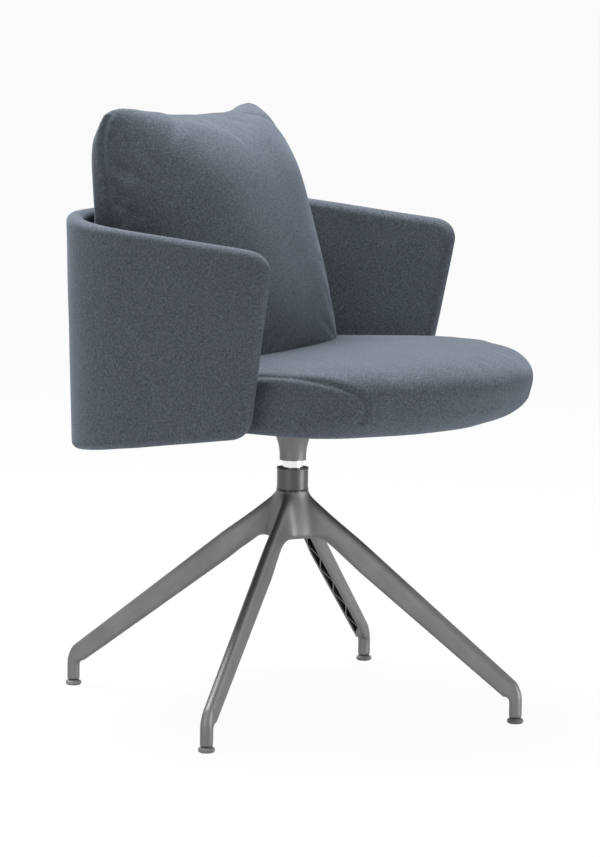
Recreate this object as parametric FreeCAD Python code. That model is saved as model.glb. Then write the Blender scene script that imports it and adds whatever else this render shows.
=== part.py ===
import FreeCAD, Part
import math
import os

# Swivel tub armchair on a four-leg pyramid base, in millimetres.
# +Z is up, the sitter faces -Y, and the origin is on the floor under the swivel axis.

# Base casting
GLIDE_CIRCLE_RADIUS = 320.0
BASE_TURN = 6.9
LEG_COUNT = 4
LEG_TOP_AT_FOOT = 55.7
LEG_WIDTH_AT_HUB = 18.0
LEG_DEPTH_AT_HUB = 46.0
LEG_DEPTH_AT_FOOT = 32.0
LEG_EDGE_RADIUS = 5.0
LEG_SKIN = 8.0
LEG_LIP = 3.0
POST_DIAMETER = 17.4
POST_OUTER_BEND = 28.0
POST_INNER_BEND = 12.0
RIB_COUNT = 9
RIB_THICKNESS = 1.8
RIB_RECESS = 4.0
CHANNEL_START = 34.0
CHANNEL_END_WALL = 16.0
HUB_TOP = 297.0
HUB_BOTTOM = 232.0
HUB_DIAMETER = 43.0
HUB_NECK = 12.0
HUB_FOOT_DIAMETER = 68.0
HUB_SHOULDER = 3.0

# Glides
GLIDE_DIAMETER = 22.0
GLIDE_THICKNESS = 6.5
GLIDE_RIM_ROUND = 2.0
GLIDE_NECK_DIAMETER = 16.0
GLIDE_NECK_HEIGHT = 1.0
GLIDE_STEM_DIAMETER = 10.0
GLIDE_STEM_LENGTH = 16.0

# Swivel column
ROD_DIAMETER = 28.0
RUNNING_CLEARANCE = 0.05
SEATING_CLEARANCE = 0.02
BUSH_WALL = 2.0
TUBE_WALL = 2.0
TUBE_LIFT = 6.0
BEARING_SEAT_THICKNESS = 4.0
RACE_THICKNESS = 2.0
RACE_MARGIN = 0.4
BALL_DIAMETER = 5.0
BALL_COUNT = 8
BALL_CLEARANCE = 0.02
CAGE_THICKNESS = 2.0
CAGE_MARGIN = 0.8
CAGE_POCKET_CLEARANCE = 0.15
STUB_DIAMETER = 16.0
STUB_CLEARANCE = 0.4
WASHER_THICKNESS = 1.6
WASHER_DIAMETER = 26.0
WASHER_PLAY = 0.3
CLIP_THICKNESS = 1.2
CLIP_DIAMETER = 22.0
CLIP_GROOVE_DEPTH = 1.5
CLIP_MOUTH = 9.0
STUB_TAIL = 2.0
LOWER_BUSH_LENGTH = 22.0
BUSH_STAND_OFF = 3.0
UPPER_BUSH_LENGTH = 25.0
BUSH_FLANGE_THICKNESS = 1.4
COLLAR_DIAMETER = 42.4
COLLAR_HEIGHT = 26.8
GASKET_THICKNESS = 1.2
TRIM_STEP = 0.5
ROD_SHOWING = 10.5

# Seat mount
MOUNT_NECK_DIAMETER = 36.0
MOUNT_NECK_HEIGHT = 3.0
MOUNT_FLARE_DIAMETER = 120.0
MOUNT_FLARE_SAG = 12.0
MOUNT_PLATE_SIDE = 150.0
MOUNT_PLATE_THICKNESS = 6.0
MOUNT_PLATE_CORNER = 14.0
MOUNT_ROOF = 6.0
BOLT_SPACING = 112.0
BOLT_DIAMETER = 8.0
BOLT_HOLE_CLEARANCE = 0.2
BOLT_HEAD_DIAMETER = 14.0
BOLT_HEAD_HEIGHT = 5.0
TEE_NUT_WALL = 1.4
TEE_FLANGE_DIAMETER = 20.0
TEE_FLANGE_THICKNESS = 1.2

# Seat
SEAT_UNDERSIDE = 411.0
SEAT_HALF_WIDTH = 244.0
SEAT_FRONT = 311.0
SEAT_FRONT_FLAT = 110.0
SEAT_SHOULDER_START = 200.0
SEAT_BACK = 200.0
SEAT_CORNER_RADIUS = 110.0
SEAT_SHOULDER_RADIUS = 140.0
SEAT_NOSE_RADIUS = 250.0
SEAT_NOSE_HEIGHT = 44.0
SEAT_SEAM_HEIGHT = 70.0
SEAT_CROWN = 14.0
SEAT_CROWN_REACH = 150.0
SEAT_NOSE_UNDERCUT = 60.0
SEAT_NOSE_ROLL = 18.0
SEAT_SIDE_UNDERCUT = 7.0
SEAT_SIDE_ROLL = 5.0
SEAT_TILT = 3.5
LOWER_LEVELS = (0.0, 0.06, 0.2, 0.45, 0.7)
UPPER_LEVELS = (0.0, 0.4, 0.7, 0.9, 1.0)
CROWN_LEVELS = (0.2, 0.4, 0.6, 0.8, 1.0)
BOARD_THICKNESS = 12.0
BOARD_MARGIN = 14.0

# Tub
TUB_HALF_WIDTH = 300.0
TUB_WIDTH_HEIGHT = 642.0
TUB_FLARE = 4.9
TUB_BACK = 245.0
TUB_CORNER_RADIUS = 150.0
TUB_WALL = 22.0
TUB_EDGE_RADIUS = 9.0
TUB_CORE_THICKNESS = 8.0
TUB_CORE_MARGIN = 12.0
TUB_CORE_HEM = 2.0
RIM_FRONT = 108.0
RIM_FRONT_HEIGHT = 642.0
RIM_SLOPE = 5.3
ARM_LEAN = 9.6
ARM_TOP_CORNER = 38.0
ARM_BOTTOM_CORNER = 24.0
SKIRT_FRONT_HEIGHT = 405.0
SKIRT_SLOPE = 8.6
OVERRUN = 60.0

# Brackets and screws between tub and seat board
BRACKET_THICKNESS = 3.0
BRACKET_WIDTH = 30.0
BRACKET_RISE = 46.0
BRACKET_FOOT = 62.0
BRACKET_PLACES = (-5.0, 65.0)
SCREW_DIAMETER = 4.5
SCREW_HEAD_DIAMETER = 9.0
SCREW_HEAD_HEIGHT = 2.6
SCREW_GRIP = 9.0
TUB_SCREW_GRIP = 12.0

# Back support inside the back cushion
UPRIGHT_WIDTH = 30.0
UPRIGHT_THICKNESS = 4.0
UPRIGHT_SPACING = 190.0
UPRIGHT_FOOT = 78.0
UPRIGHT_TOP = 655.0
UPRIGHT_SCREW_INSET = 20.0
TUB_SCREW_HEIGHT = 452.0
BACK_BOARD_THICKNESS = 8.0
BACK_BOARD_WIDTH = 270.0
BACK_BOARD_BOTTOM = 545.0
BACK_BOARD_TOP = 755.0
BACK_BOARD_SKIN = 12.0
BACK_BOARD_CORNER = 30.0
BOARD_SCREW_INSET = 26.0

# Back cushion
PILLOW_HALF_WIDTH = 204.0
PILLOW_BACK_GAP = 4.5
PILLOW_EDGE_SETBACK = 22.0
PILLOW_FRONT_FOOT = -27.0
PILLOW_FRONT_HEAD = 40.0
PILLOW_EDGE_FOOT = 96.0
PILLOW_EDGE_HEAD = 162.0
PILLOW_HEAD_HEIGHT = 745.0
PILLOW_TOP = 797.0
PILLOW_EAR_RISE = 10.0
PILLOW_END_INSET = 13.0
PILLOW_FRONT_BULGE = 10.0
PILLOW_ROUND = 0.3
PILLOW_FULLNESS = 3.0
PILLOW_STATIONS = (-1.0, -0.93, -0.55, 0.0, 0.55, 0.93, 1.0)
PILLOW_SINK = 24.0
SOFT_GAP = 0.3

# How far apart edges lie when they are told from one another
EDGE_SORT_MARGIN = 1.0
CROSS_EDGE_LIMIT = 26.0
STANDING_EDGE_LIMIT = 114.0

# Heights and radii that follow from the sizes above
BORE_RADIUS = ROD_DIAMETER / 2 + BUSH_WALL + TUBE_WALL
TUBE_INNER_RADIUS = ROD_DIAMETER / 2 + BUSH_WALL
POST_BOTTOM = GLIDE_THICKNESS + GLIDE_NECK_HEIGHT
COLLAR_BOTTOM = HUB_TOP + GASKET_THICKNESS
COLLAR_TOP = COLLAR_BOTTOM + COLLAR_HEIGHT
TUBE_BOTTOM = HUB_BOTTOM + TUBE_LIFT
LOWER_RACE_BOTTOM = TUBE_BOTTOM + BEARING_SEAT_THICKNESS
BALL_HEIGHT = LOWER_RACE_BOTTOM + RACE_THICKNESS + BALL_CLEARANCE + BALL_DIAMETER / 2
UPPER_RACE_BOTTOM = BALL_HEIGHT + BALL_DIAMETER / 2 + BALL_CLEARANCE
ROD_BOTTOM = UPPER_RACE_BOTTOM + RACE_THICKNESS
WASHER_TOP = TUBE_BOTTOM - WASHER_PLAY
CLIP_TOP = WASHER_TOP - WASHER_THICKNESS
STUB_BOTTOM = CLIP_TOP - CLIP_THICKNESS - STUB_TAIL
STUB_HOLE_RADIUS = STUB_DIAMETER / 2 + STUB_CLEARANCE
RACE_OUTER_RADIUS = TUBE_INNER_RADIUS - RACE_MARGIN
BALL_CIRCLE_RADIUS = (STUB_HOLE_RADIUS + RACE_OUTER_RADIUS) / 2
MOUNT_BOTTOM = COLLAR_TOP + BUSH_FLANGE_THICKNESS + ROD_SHOWING
PLATE_BOTTOM = SEAT_UNDERSIDE - MOUNT_PLATE_THICKNESS
ROD_TOP = SEAT_UNDERSIDE - MOUNT_ROOF
BOARD_TOP = SEAT_UNDERSIDE + BOARD_THICKNESS
TUB_INNER_BACK = TUB_BACK - TUB_WALL
TUB_PAD = (TUB_WALL - TUB_CORE_THICKNESS) / 2
LEG_TOP_AT_HUB = HUB_TOP - HUB_SHOULDER

Vector = FreeCAD.Vector
UP = Vector(0, 0, 1)
ORIGIN = Vector(0, 0, 0)


def rounded_wire(points, radii):
    """Closed wire through the points, each corner rounded by its radius where that is not zero."""
    edges = []
    count = len(points)
    starts = []
    ends = []
    mids = []
    for i in range(count):
        corner = points[i]
        to_last = (points[i - 1] - corner).normalize()
        to_next = (points[(i + 1) % count] - corner).normalize()
        half_angle = to_last.getAngle(to_next) / 2
        reach = radii[i] / math.tan(half_angle)
        bisector = (to_last + to_next).normalize()
        starts.append(corner + to_last * reach)
        ends.append(corner + to_next * reach)
        mids.append(corner + bisector * (radii[i] / math.sin(half_angle) - radii[i]))
    for i in range(count):
        if radii[i] > 0:
            edges.append(Part.Arc(starts[i], mids[i], ends[i]).toShape())
        edges.append(Part.LineSegment(ends[i], starts[(i + 1) % count]).toShape())
    return Part.Wire(edges)


def prism(points, radii, direction):
    """Solid swept from a rounded outline along a direction."""
    return Part.Face(rounded_wire(points, radii)).extrude(direction)


def ring(outer_radius, inner_radius, bottom, top):
    """Plain ring or tube about the swivel axis."""
    outer = Part.makeCylinder(outer_radius, top - bottom, Vector(0, 0, bottom))
    inner = Part.makeCylinder(inner_radius, top - bottom, Vector(0, 0, bottom))
    return outer.cut(inner)


def turned(profile):
    """Solid of revolution about the swivel axis from straight (radius, height) points."""
    points = [Vector(radius, 0, height) for radius, height in profile]
    wire = Part.makePolygon(points + points[:1])
    return Part.Face(wire).revolve(ORIGIN, UP, 360)


def without(shape, tools):
    """Shape with each of the tools cut out of it in turn."""
    for tool in tools:
        shape = shape.cut(tool)
    return shape


def about_axis(shape, angle):
    """Copy of a shape turned about the swivel axis."""
    copy = shape.copy()
    copy.rotate(ORIGIN, UP, angle)
    return copy


def leg_share(radius):
    """Share of the way from the hub to the foot."""
    return (radius - HUB_DIAMETER / 2) / (GLIDE_CIRCLE_RADIUS - HUB_DIAMETER / 2)


def leg_top(radius):
    """Height of a leg's top line at a distance from the swivel axis."""
    return LEG_TOP_AT_HUB + (LEG_TOP_AT_FOOT - LEG_TOP_AT_HUB) * leg_share(radius)


def leg_bottom(radius):
    """Height of a leg's underside at a distance from the swivel axis."""
    depth = LEG_DEPTH_AT_HUB + (LEG_DEPTH_AT_FOOT - LEG_DEPTH_AT_HUB) * leg_share(radius)
    return leg_top(radius) - depth


def leg_half_width(radius):
    """Half of a leg's width at a distance from the swivel axis."""
    return (LEG_WIDTH_AT_HUB + (POST_DIAMETER - LEG_WIDTH_AT_HUB) * leg_share(radius)) / 2


def leg_wedge(start, end, inset):
    """Tall wedge that gives a leg or its channel the tapering width."""
    near = leg_half_width(start) - inset
    far = leg_half_width(end) - inset
    outline = [(start, -near), (end, -far), (end, far), (start, near)]
    return prism([Vector(x, y, 0) for x, y in outline], [0] * len(outline), UP * HUB_TOP)


def leg_solid():
    """One leg along +X: tapering bar with rounded edges, bent down into its post."""
    root = BORE_RADIUS
    outer = GLIDE_CIRCLE_RADIUS + POST_DIAMETER / 2
    inner = GLIDE_CIRCLE_RADIUS - POST_DIAMETER / 2
    outline = [
        (root, leg_top(root)),
        (outer, leg_top(outer)),
        (outer, POST_BOTTOM),
        (inner, POST_BOTTOM),
        (inner, leg_bottom(inner)),
        (root, leg_bottom(root)),
    ]
    radii = [0, POST_OUTER_BEND, 0, 0, POST_INNER_BEND, 0]
    reach = LEG_WIDTH_AT_HUB
    side = prism([Vector(r, -reach, z) for r, z in outline], radii, Vector(0, 2 * reach, 0))
    bar = side.common(leg_wedge(root, outer, 0))
    long_edges = []
    for edge in bar.Edges:
        middle = edge.valueAt((edge.FirstParameter + edge.LastParameter) / 2)
        beside_middle = abs(middle.y) > EDGE_SORT_MARGIN
        off_root = middle.x > root + EDGE_SORT_MARGIN
        off_foot = middle.z > POST_BOTTOM + EDGE_SORT_MARGIN
        if beside_middle and off_root and off_foot:
            long_edges.append(edge)
    return bar.makeFillet(LEG_EDGE_RADIUS, long_edges)


def leg_channel():
    """Hollow under one leg, open downwards, less the cross ribs that stay in it."""
    start = CHANNEL_START
    end = GLIDE_CIRCLE_RADIUS - POST_DIAMETER / 2 - CHANNEL_END_WALL
    outline = [
        (start, leg_top(start) - LEG_SKIN),
        (end, leg_top(end) - LEG_SKIN),
        (end, leg_bottom(end) - OVERRUN),
        (start, leg_bottom(start) - OVERRUN),
    ]
    reach = LEG_WIDTH_AT_HUB
    side = prism([Vector(r, -reach, z) for r, z in outline], [0] * len(outline), Vector(0, 2 * reach, 0))
    channel = side.common(leg_wedge(start, end, LEG_LIP))
    step = (end - start) / RIB_COUNT
    for i in range(RIB_COUNT):
        swing = leg_half_width(start) * (1 if i % 2 else -1)
        near = Vector(start + i * step, -swing, 0)
        far = Vector(start + (i + 1) * step, swing, 0)
        across = (far - near).cross(UP).normalize() * (RIB_THICKNESS / 2)
        floor = leg_bottom(near.x) - OVERRUN
        corners = [near - across, far - across, far + across, near + across]
        rib = prism([p + UP * floor for p in corners], [0] * len(corners), UP * HUB_TOP)
        lid = [
            Vector(start, -reach, leg_bottom(start) + RIB_RECESS),
            Vector(end, -reach, leg_bottom(end) + RIB_RECESS),
            Vector(end, -reach, HUB_TOP),
            Vector(start, -reach, HUB_TOP),
        ]
        rib = rib.common(prism(lid, [0] * len(lid), Vector(0, 2 * reach, 0)))
        channel = channel.cut(rib)
    return channel


def pyramid_base():
    """Cast four-leg base: hub with a through bore, ribbed hollow legs and post feet."""
    neck = HUB_TOP - HUB_NECK
    foot = HUB_FOOT_DIAMETER / 2
    waist = Vector((HUB_DIAMETER / 2 + foot) / 2 - HUB_SHOULDER, 0, (neck + HUB_BOTTOM) / 2)
    edges = [
        Part.LineSegment(Vector(0, 0, HUB_TOP), Vector(HUB_DIAMETER / 2, 0, HUB_TOP)).toShape(),
        Part.LineSegment(Vector(HUB_DIAMETER / 2, 0, HUB_TOP), Vector(HUB_DIAMETER / 2, 0, neck)).toShape(),
        Part.Arc(Vector(HUB_DIAMETER / 2, 0, neck), waist, Vector(foot, 0, HUB_BOTTOM)).toShape(),
        Part.LineSegment(Vector(foot, 0, HUB_BOTTOM), Vector(0, 0, HUB_BOTTOM)).toShape(),
        Part.LineSegment(Vector(0, 0, HUB_BOTTOM), Vector(0, 0, HUB_TOP)).toShape(),
    ]
    body = Part.Face(Part.Wire(edges)).revolve(ORIGIN, UP, 360)
    leg = leg_solid()
    channel = leg_channel()
    foot_middle = Vector(GLIDE_CIRCLE_RADIUS, 0, POST_BOTTOM)
    stem = Part.makeCylinder(GLIDE_STEM_DIAMETER / 2, GLIDE_STEM_LENGTH, foot_middle)
    angles = [BASE_TURN + i * 360 / LEG_COUNT for i in range(LEG_COUNT)]
    for angle in angles:
        body = body.fuse(about_axis(leg, angle))
    for angle in angles:
        body = body.cut(about_axis(channel, angle))
        body = body.cut(about_axis(stem, angle))
    bore = Part.makeCylinder(BORE_RADIUS, HUB_TOP - HUB_BOTTOM, Vector(0, 0, HUB_BOTTOM))
    return body.cut(bore).removeSplitter()


def glide(index):
    """Plastic glide with a stem that plugs into the post of one leg."""
    rim = GLIDE_DIAMETER / 2
    slope = GLIDE_RIM_ROUND
    profile = [
        (0, 0),
        (rim - slope, 0),
        (rim, slope),
        (rim, GLIDE_THICKNESS - slope / 2),
        (rim - slope / 2, GLIDE_THICKNESS),
        (GLIDE_NECK_DIAMETER / 2, GLIDE_THICKNESS),
        (GLIDE_NECK_DIAMETER / 2, POST_BOTTOM),
        (GLIDE_STEM_DIAMETER / 2, POST_BOTTOM),
        (GLIDE_STEM_DIAMETER / 2, POST_BOTTOM + GLIDE_STEM_LENGTH),
        (0, POST_BOTTOM + GLIDE_STEM_LENGTH),
    ]
    piece = turned(profile)
    piece.translate(Vector(GLIDE_CIRCLE_RADIUS, 0, 0))
    return about_axis(piece, BASE_TURN + index * 360 / LEG_COUNT)


def ball_spots():
    """Centres of the thrust bearing's balls."""
    spots = []
    for i in range(BALL_COUNT):
        turn = i * 2 * math.pi / BALL_COUNT
        spot = Vector(math.cos(turn), math.sin(turn), 0) * BALL_CIRCLE_RADIUS
        spots.append(spot + UP * BALL_HEIGHT)
    return spots


def ball_cage():
    """Flat ring that keeps the balls apart."""
    bottom = BALL_HEIGHT - CAGE_THICKNESS / 2
    outer = RACE_OUTER_RADIUS - CAGE_MARGIN
    cage = ring(outer, STUB_HOLE_RADIUS + CAGE_MARGIN, bottom, bottom + CAGE_THICKNESS)
    for spot in ball_spots():
        pocket = BALL_DIAMETER / 2 + CAGE_POCKET_CLEARANCE
        cage = cage.cut(Part.makeCylinder(pocket, CAGE_THICKNESS, Vector(spot.x, spot.y, bottom)))
    return cage


def bearing_balls():
    """The balls of the thrust bearing, as separate solids."""
    return Part.makeCompound([Part.makeSphere(BALL_DIAMETER / 2, spot) for spot in ball_spots()])


def swivel_rod():
    """Chromed spindle with a stub end for the bearing and a groove for its clip."""
    stub = STUB_DIAMETER / 2
    groove = stub - CLIP_GROOVE_DEPTH
    profile = [
        (0, STUB_BOTTOM),
        (stub, STUB_BOTTOM),
        (stub, CLIP_TOP - CLIP_THICKNESS),
        (groove, CLIP_TOP - CLIP_THICKNESS),
        (groove, CLIP_TOP),
        (stub, CLIP_TOP),
        (stub, ROD_BOTTOM),
        (ROD_DIAMETER / 2, ROD_BOTTOM),
        (ROD_DIAMETER / 2, ROD_TOP),
        (0, ROD_TOP),
    ]
    return turned(profile)


def retaining_clip():
    """Open ring that snaps into the spindle's groove under the bearing."""
    bottom = CLIP_TOP - CLIP_THICKNESS
    inner = STUB_DIAMETER / 2 - CLIP_GROOVE_DEPTH + SEATING_CLEARANCE
    clip = ring(CLIP_DIAMETER / 2, inner, bottom, CLIP_TOP)
    mouth = Part.makeBox(CLIP_DIAMETER, CLIP_MOUTH, CLIP_THICKNESS, Vector(0, -CLIP_MOUTH / 2, bottom))
    return clip.cut(mouth)


def upper_bush():
    """Flanged plastic bush in the top of the column tube, its flange over the collar."""
    inner = ROD_DIAMETER / 2 + RUNNING_CLEARANCE
    sleeve = ring(TUBE_INNER_RADIUS, inner, COLLAR_TOP - UPPER_BUSH_LENGTH, COLLAR_TOP)
    flange = ring(COLLAR_DIAMETER / 2 + TRIM_STEP, inner, COLLAR_TOP, COLLAR_TOP + BUSH_FLANGE_THICKNESS)
    return sleeve.fuse(flange).removeSplitter()


def bolt_spots():
    """Centres of the seat mount's bolts."""
    half = BOLT_SPACING / 2
    return [Vector(x, y, 0) for x in (-half, half) for y in (-half, half)]


def seat_mount():
    """Cast cone and plate that hold the spindle under the seat board."""
    neck = MOUNT_NECK_DIAMETER / 2
    flare = MOUNT_FLARE_DIAMETER / 2
    neck_top = MOUNT_BOTTOM + MOUNT_NECK_HEIGHT
    low = Vector(neck, 0, neck_top)
    high = Vector(flare, 0, PLATE_BOTTOM)
    inward = Vector(-(high.z - low.z), 0, high.x - low.x).normalize()
    middle = (low + high) * 0.5 + inward * MOUNT_FLARE_SAG
    edges = [
        Part.LineSegment(Vector(0, 0, MOUNT_BOTTOM), Vector(neck, 0, MOUNT_BOTTOM)).toShape(),
        Part.LineSegment(Vector(neck, 0, MOUNT_BOTTOM), low).toShape(),
        Part.Arc(low, middle, high).toShape(),
        Part.LineSegment(high, Vector(0, 0, PLATE_BOTTOM)).toShape(),
        Part.LineSegment(Vector(0, 0, PLATE_BOTTOM), Vector(0, 0, MOUNT_BOTTOM)).toShape(),
    ]
    cone = Part.Face(Part.Wire(edges)).revolve(ORIGIN, UP, 360)
    half = MOUNT_PLATE_SIDE / 2
    corners = [(-half, -half), (half, -half), (half, half), (-half, half)]
    points = [Vector(x, y, PLATE_BOTTOM) for x, y in corners]
    plate = prism(points, [MOUNT_PLATE_CORNER] * len(points), UP * MOUNT_PLATE_THICKNESS)
    mount = cone.fuse(plate)
    socket = ROD_DIAMETER / 2 + SEATING_CLEARANCE
    mount = mount.cut(Part.makeCylinder(socket, ROD_TOP - MOUNT_BOTTOM, Vector(0, 0, MOUNT_BOTTOM)))
    for spot in bolt_spots():
        hole = BOLT_DIAMETER / 2 + BOLT_HOLE_CLEARANCE
        mount = mount.cut(Part.makeCylinder(hole, MOUNT_PLATE_THICKNESS, spot + UP * PLATE_BOTTOM))
    return mount.removeSplitter()


def mount_bolts():
    """Bolts from below through the mount's plate, as separate solids."""
    bolts = []
    head_bottom = PLATE_BOTTOM - BOLT_HEAD_HEIGHT
    shank_length = MOUNT_PLATE_THICKNESS + BOARD_THICKNESS - TEE_FLANGE_THICKNESS
    for spot in bolt_spots():
        head = Part.makeCylinder(BOLT_HEAD_DIAMETER / 2, BOLT_HEAD_HEIGHT, spot + UP * head_bottom)
        shank = Part.makeCylinder(BOLT_DIAMETER / 2, shank_length, spot + UP * PLATE_BOTTOM)
        bolts.append(head.fuse(shank).removeSplitter())
    return Part.makeCompound(bolts)


def tee_nut_at(spot, bore_radius):
    """Tee nut let into the seat board from above; a bore radius of zero leaves it solid."""
    flange_bottom = BOARD_TOP - TEE_FLANGE_THICKNESS
    barrel_radius = BOLT_DIAMETER / 2 + TEE_NUT_WALL
    barrel = Part.makeCylinder(barrel_radius, flange_bottom - SEAT_UNDERSIDE, spot + UP * SEAT_UNDERSIDE)
    flange = Part.makeCylinder(TEE_FLANGE_DIAMETER / 2, TEE_FLANGE_THICKNESS, spot + UP * flange_bottom)
    nut = barrel.fuse(flange)
    if bore_radius > 0:
        nut = nut.cut(Part.makeCylinder(bore_radius, BOARD_THICKNESS, spot + UP * SEAT_UNDERSIDE))
    return nut.removeSplitter()


def seat_outline(height, side_inset, nose_inset, tilt):
    """Plan of the seat at one level: straight back and sides, and a rounded nose."""
    half = SEAT_HALF_WIDTH - side_inset
    front = -SEAT_FRONT + nose_inset
    back = SEAT_BACK - side_inset
    across = half / SEAT_HALF_WIDTH
    along = (back - front) / (SEAT_BACK + SEAT_FRONT)
    flat = SEAT_FRONT_FLAT * across
    shoulder = front + (SEAT_FRONT - SEAT_SHOULDER_START) * along
    left_half = [(-half, back), (-half, shoulder), (-flat, front)]
    outline = left_half + [(-x, y) for x, y in left_half[::-1]]
    radii = [SEAT_CORNER_RADIUS, SEAT_SHOULDER_RADIUS, SEAT_NOSE_RADIUS]
    radii = [radius * min(across, along) for radius in radii + radii[::-1]]
    wire = rounded_wire([Vector(x, y, height) for x, y in outline], radii)
    wire.rotate(Vector(0, 0, height), Vector(1, 0, 0), -tilt)
    return wire


def seat_levels():
    """Height, insets and tilt of each level of the seat cushion, from the underside to the crown."""
    levels = []
    for share in LOWER_LEVELS:
        fade = 1 - math.sqrt(1 - (1 - share) ** 2)
        levels.append((share * SEAT_NOSE_HEIGHT, SEAT_SIDE_UNDERCUT * fade, SEAT_NOSE_UNDERCUT * fade, 0))
    for share in UPPER_LEVELS:
        fade = 1 - math.sqrt(1 - share ** 2)
        rise = SEAT_NOSE_HEIGHT + share * (SEAT_SEAM_HEIGHT - SEAT_NOSE_HEIGHT)
        levels.append((rise, SEAT_SIDE_ROLL * fade, SEAT_NOSE_ROLL * fade, SEAT_TILT * share))
    for share in CROWN_LEVELS:
        swing = share * math.pi / 2
        rise = SEAT_SEAM_HEIGHT + SEAT_CROWN * math.sin(swing)
        spread = SEAT_CROWN_REACH * (1 - math.cos(swing))
        levels.append((rise, SEAT_SIDE_ROLL + spread, SEAT_NOSE_ROLL + spread, SEAT_TILT))
    return levels


def seat_form():
    """Outer form of the seat cushion: upright sides, rounded nose and a crowned, tilted top."""
    wires = []
    for rise, side_inset, nose_inset, tilt in seat_levels():
        wires.append(seat_outline(SEAT_UNDERSIDE + rise, side_inset, nose_inset, tilt))
    return Part.makeLoft(wires, True, True)


def board_blank():
    """Seat board before it is drilled."""
    side = SEAT_SIDE_UNDERCUT + BOARD_MARGIN
    outline = seat_outline(SEAT_UNDERSIDE, side, SEAT_NOSE_UNDERCUT + BOARD_MARGIN, 0)
    return Part.Face(outline).extrude(UP * BOARD_THICKNESS)


def tub_half_width(height):
    """Half of the tub's outer width at a height: the sides flare outwards."""
    return TUB_HALF_WIDTH + (height - TUB_WIDTH_HEIGHT) * math.tan(math.radians(TUB_FLARE))


def tub_block(inset, front):
    """Solid block with the tub's rounded plan, set in from the outer face, running past rim and skirt."""
    bottom = SKIRT_FRONT_HEIGHT - 2 * OVERRUN
    rise = RIM_FRONT_HEIGHT + 2 * OVERRUN - bottom
    half = tub_half_width(bottom) - inset
    back = TUB_BACK - inset
    past_middle = -2 * OVERRUN
    outline = [(past_middle, front), (half, front), (half, back), (past_middle, back)]
    points = [Vector(x, y, bottom) for x, y in outline]
    flare = Vector(math.tan(math.radians(TUB_FLARE)) * rise, 0, rise)
    one_side = prism(points, [0, 0, TUB_CORNER_RADIUS - inset, 0], flare)
    other_side = one_side.mirror(ORIGIN, Vector(1, 0, 0))
    return one_side.fuse(other_side).removeSplitter()


def tub_side_view(margin, hem):
    """Slab with the tub's side view: sloping rim, leaning front edge, rising skirt and rounded corners."""
    rise = math.tan(math.radians(RIM_SLOPE))
    lean = math.tan(math.radians(ARM_LEAN))
    fall = math.tan(math.radians(SKIRT_SLOPE))
    span = TUB_BACK + OVERRUN + RIM_FRONT
    reach = TUB_HALF_WIDTH + OVERRUN
    front_foot = -RIM_FRONT + lean * (RIM_FRONT_HEIGHT - SKIRT_FRONT_HEIGHT)
    back = TUB_BACK + OVERRUN
    outline = [
        (-RIM_FRONT + margin, RIM_FRONT_HEIGHT - margin),
        (front_foot + margin, SKIRT_FRONT_HEIGHT + hem),
        (back, SKIRT_FRONT_HEIGHT + hem - fall * (back - front_foot)),
        (back, RIM_FRONT_HEIGHT - margin + rise * span),
    ]
    radii = [ARM_TOP_CORNER, ARM_BOTTOM_CORNER, 0, 0]
    return prism([Vector(-reach, y, z) for y, z in outline], radii, Vector(2 * reach, 0, 0))


def tub_wall(outer_inset, inner_inset, margin, hem):
    """U-shaped wall between two insets from the tub's outer face, cut to the side view."""
    front = -RIM_FRONT - OVERRUN
    wall = tub_block(outer_inset, front).cut(tub_block(inner_inset, front - OVERRUN))
    return wall.common(tub_side_view(margin, hem))


def tub_rim_edges(wall):
    """Edges along rim, arm fronts and skirt, which the padding rounds off."""
    edges = []
    for edge in wall.Edges:
        box = edge.BoundBox
        short_and_level = edge.Length < CROSS_EDGE_LIMIT and box.ZLength < TUB_WALL / 2
        crosses_wall = short_and_level and box.XLength > TUB_WALL / 2
        stands_in_back = box.ZLength > STANDING_EDGE_LIMIT and box.YMin > 0
        if not crosses_wall and not stands_in_back:
            edges.append(edge)
    return edges


def tub_cover_form():
    """Upholstered tub before the core's pocket is taken out of it."""
    wall = tub_wall(0, TUB_WALL, 0, 0)
    return wall.makeFillet(TUB_EDGE_RADIUS, tub_rim_edges(wall))


def tub_core():
    """Moulded plywood U inside the tub's padding."""
    return tub_wall(TUB_PAD, TUB_PAD + TUB_CORE_THICKNESS, TUB_CORE_MARGIN, TUB_CORE_HEM)


def inner_face(height):
    """Distance of the tub's inner side face from the middle at a height."""
    return tub_half_width(height) - TUB_WALL


def screw(tip_side, direction, grip):
    """Pan-head screw: the head's seat is at a point, and the shank runs along a direction."""
    head = Part.makeCylinder(SCREW_HEAD_DIAMETER / 2, SCREW_HEAD_HEIGHT, tip_side, direction * -1)
    shank = Part.makeCylinder(SCREW_DIAMETER / 2, grip, tip_side, direction)
    return head.fuse(shank).removeSplitter()


def bracket_spots():
    """Side and place along Y of each tub bracket."""
    return [(side, place) for side in (-1, 1) for place in BRACKET_PLACES]


def side_bracket(side, place):
    """Steel angle: foot under the seat board, leaf up the inner face of the tub."""
    under = SEAT_UNDERSIDE - BRACKET_THICKNESS
    top = SEAT_UNDERSIDE + BRACKET_RISE
    gap = SEATING_CLEARANCE
    outline = [
        (inner_face(under) - gap - BRACKET_FOOT, under),
        (inner_face(under) - gap, under),
        (inner_face(top) - gap, top),
        (inner_face(top) - gap - BRACKET_THICKNESS, top),
        (inner_face(SEAT_UNDERSIDE) - gap - BRACKET_THICKNESS, SEAT_UNDERSIDE),
        (inner_face(under) - gap - BRACKET_FOOT, SEAT_UNDERSIDE),
    ]
    start = place - BRACKET_WIDTH / 2
    points = [Vector(side * x, start, z) for x, z in outline]
    return prism(points, [0] * len(points), Vector(0, BRACKET_WIDTH, 0))


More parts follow.
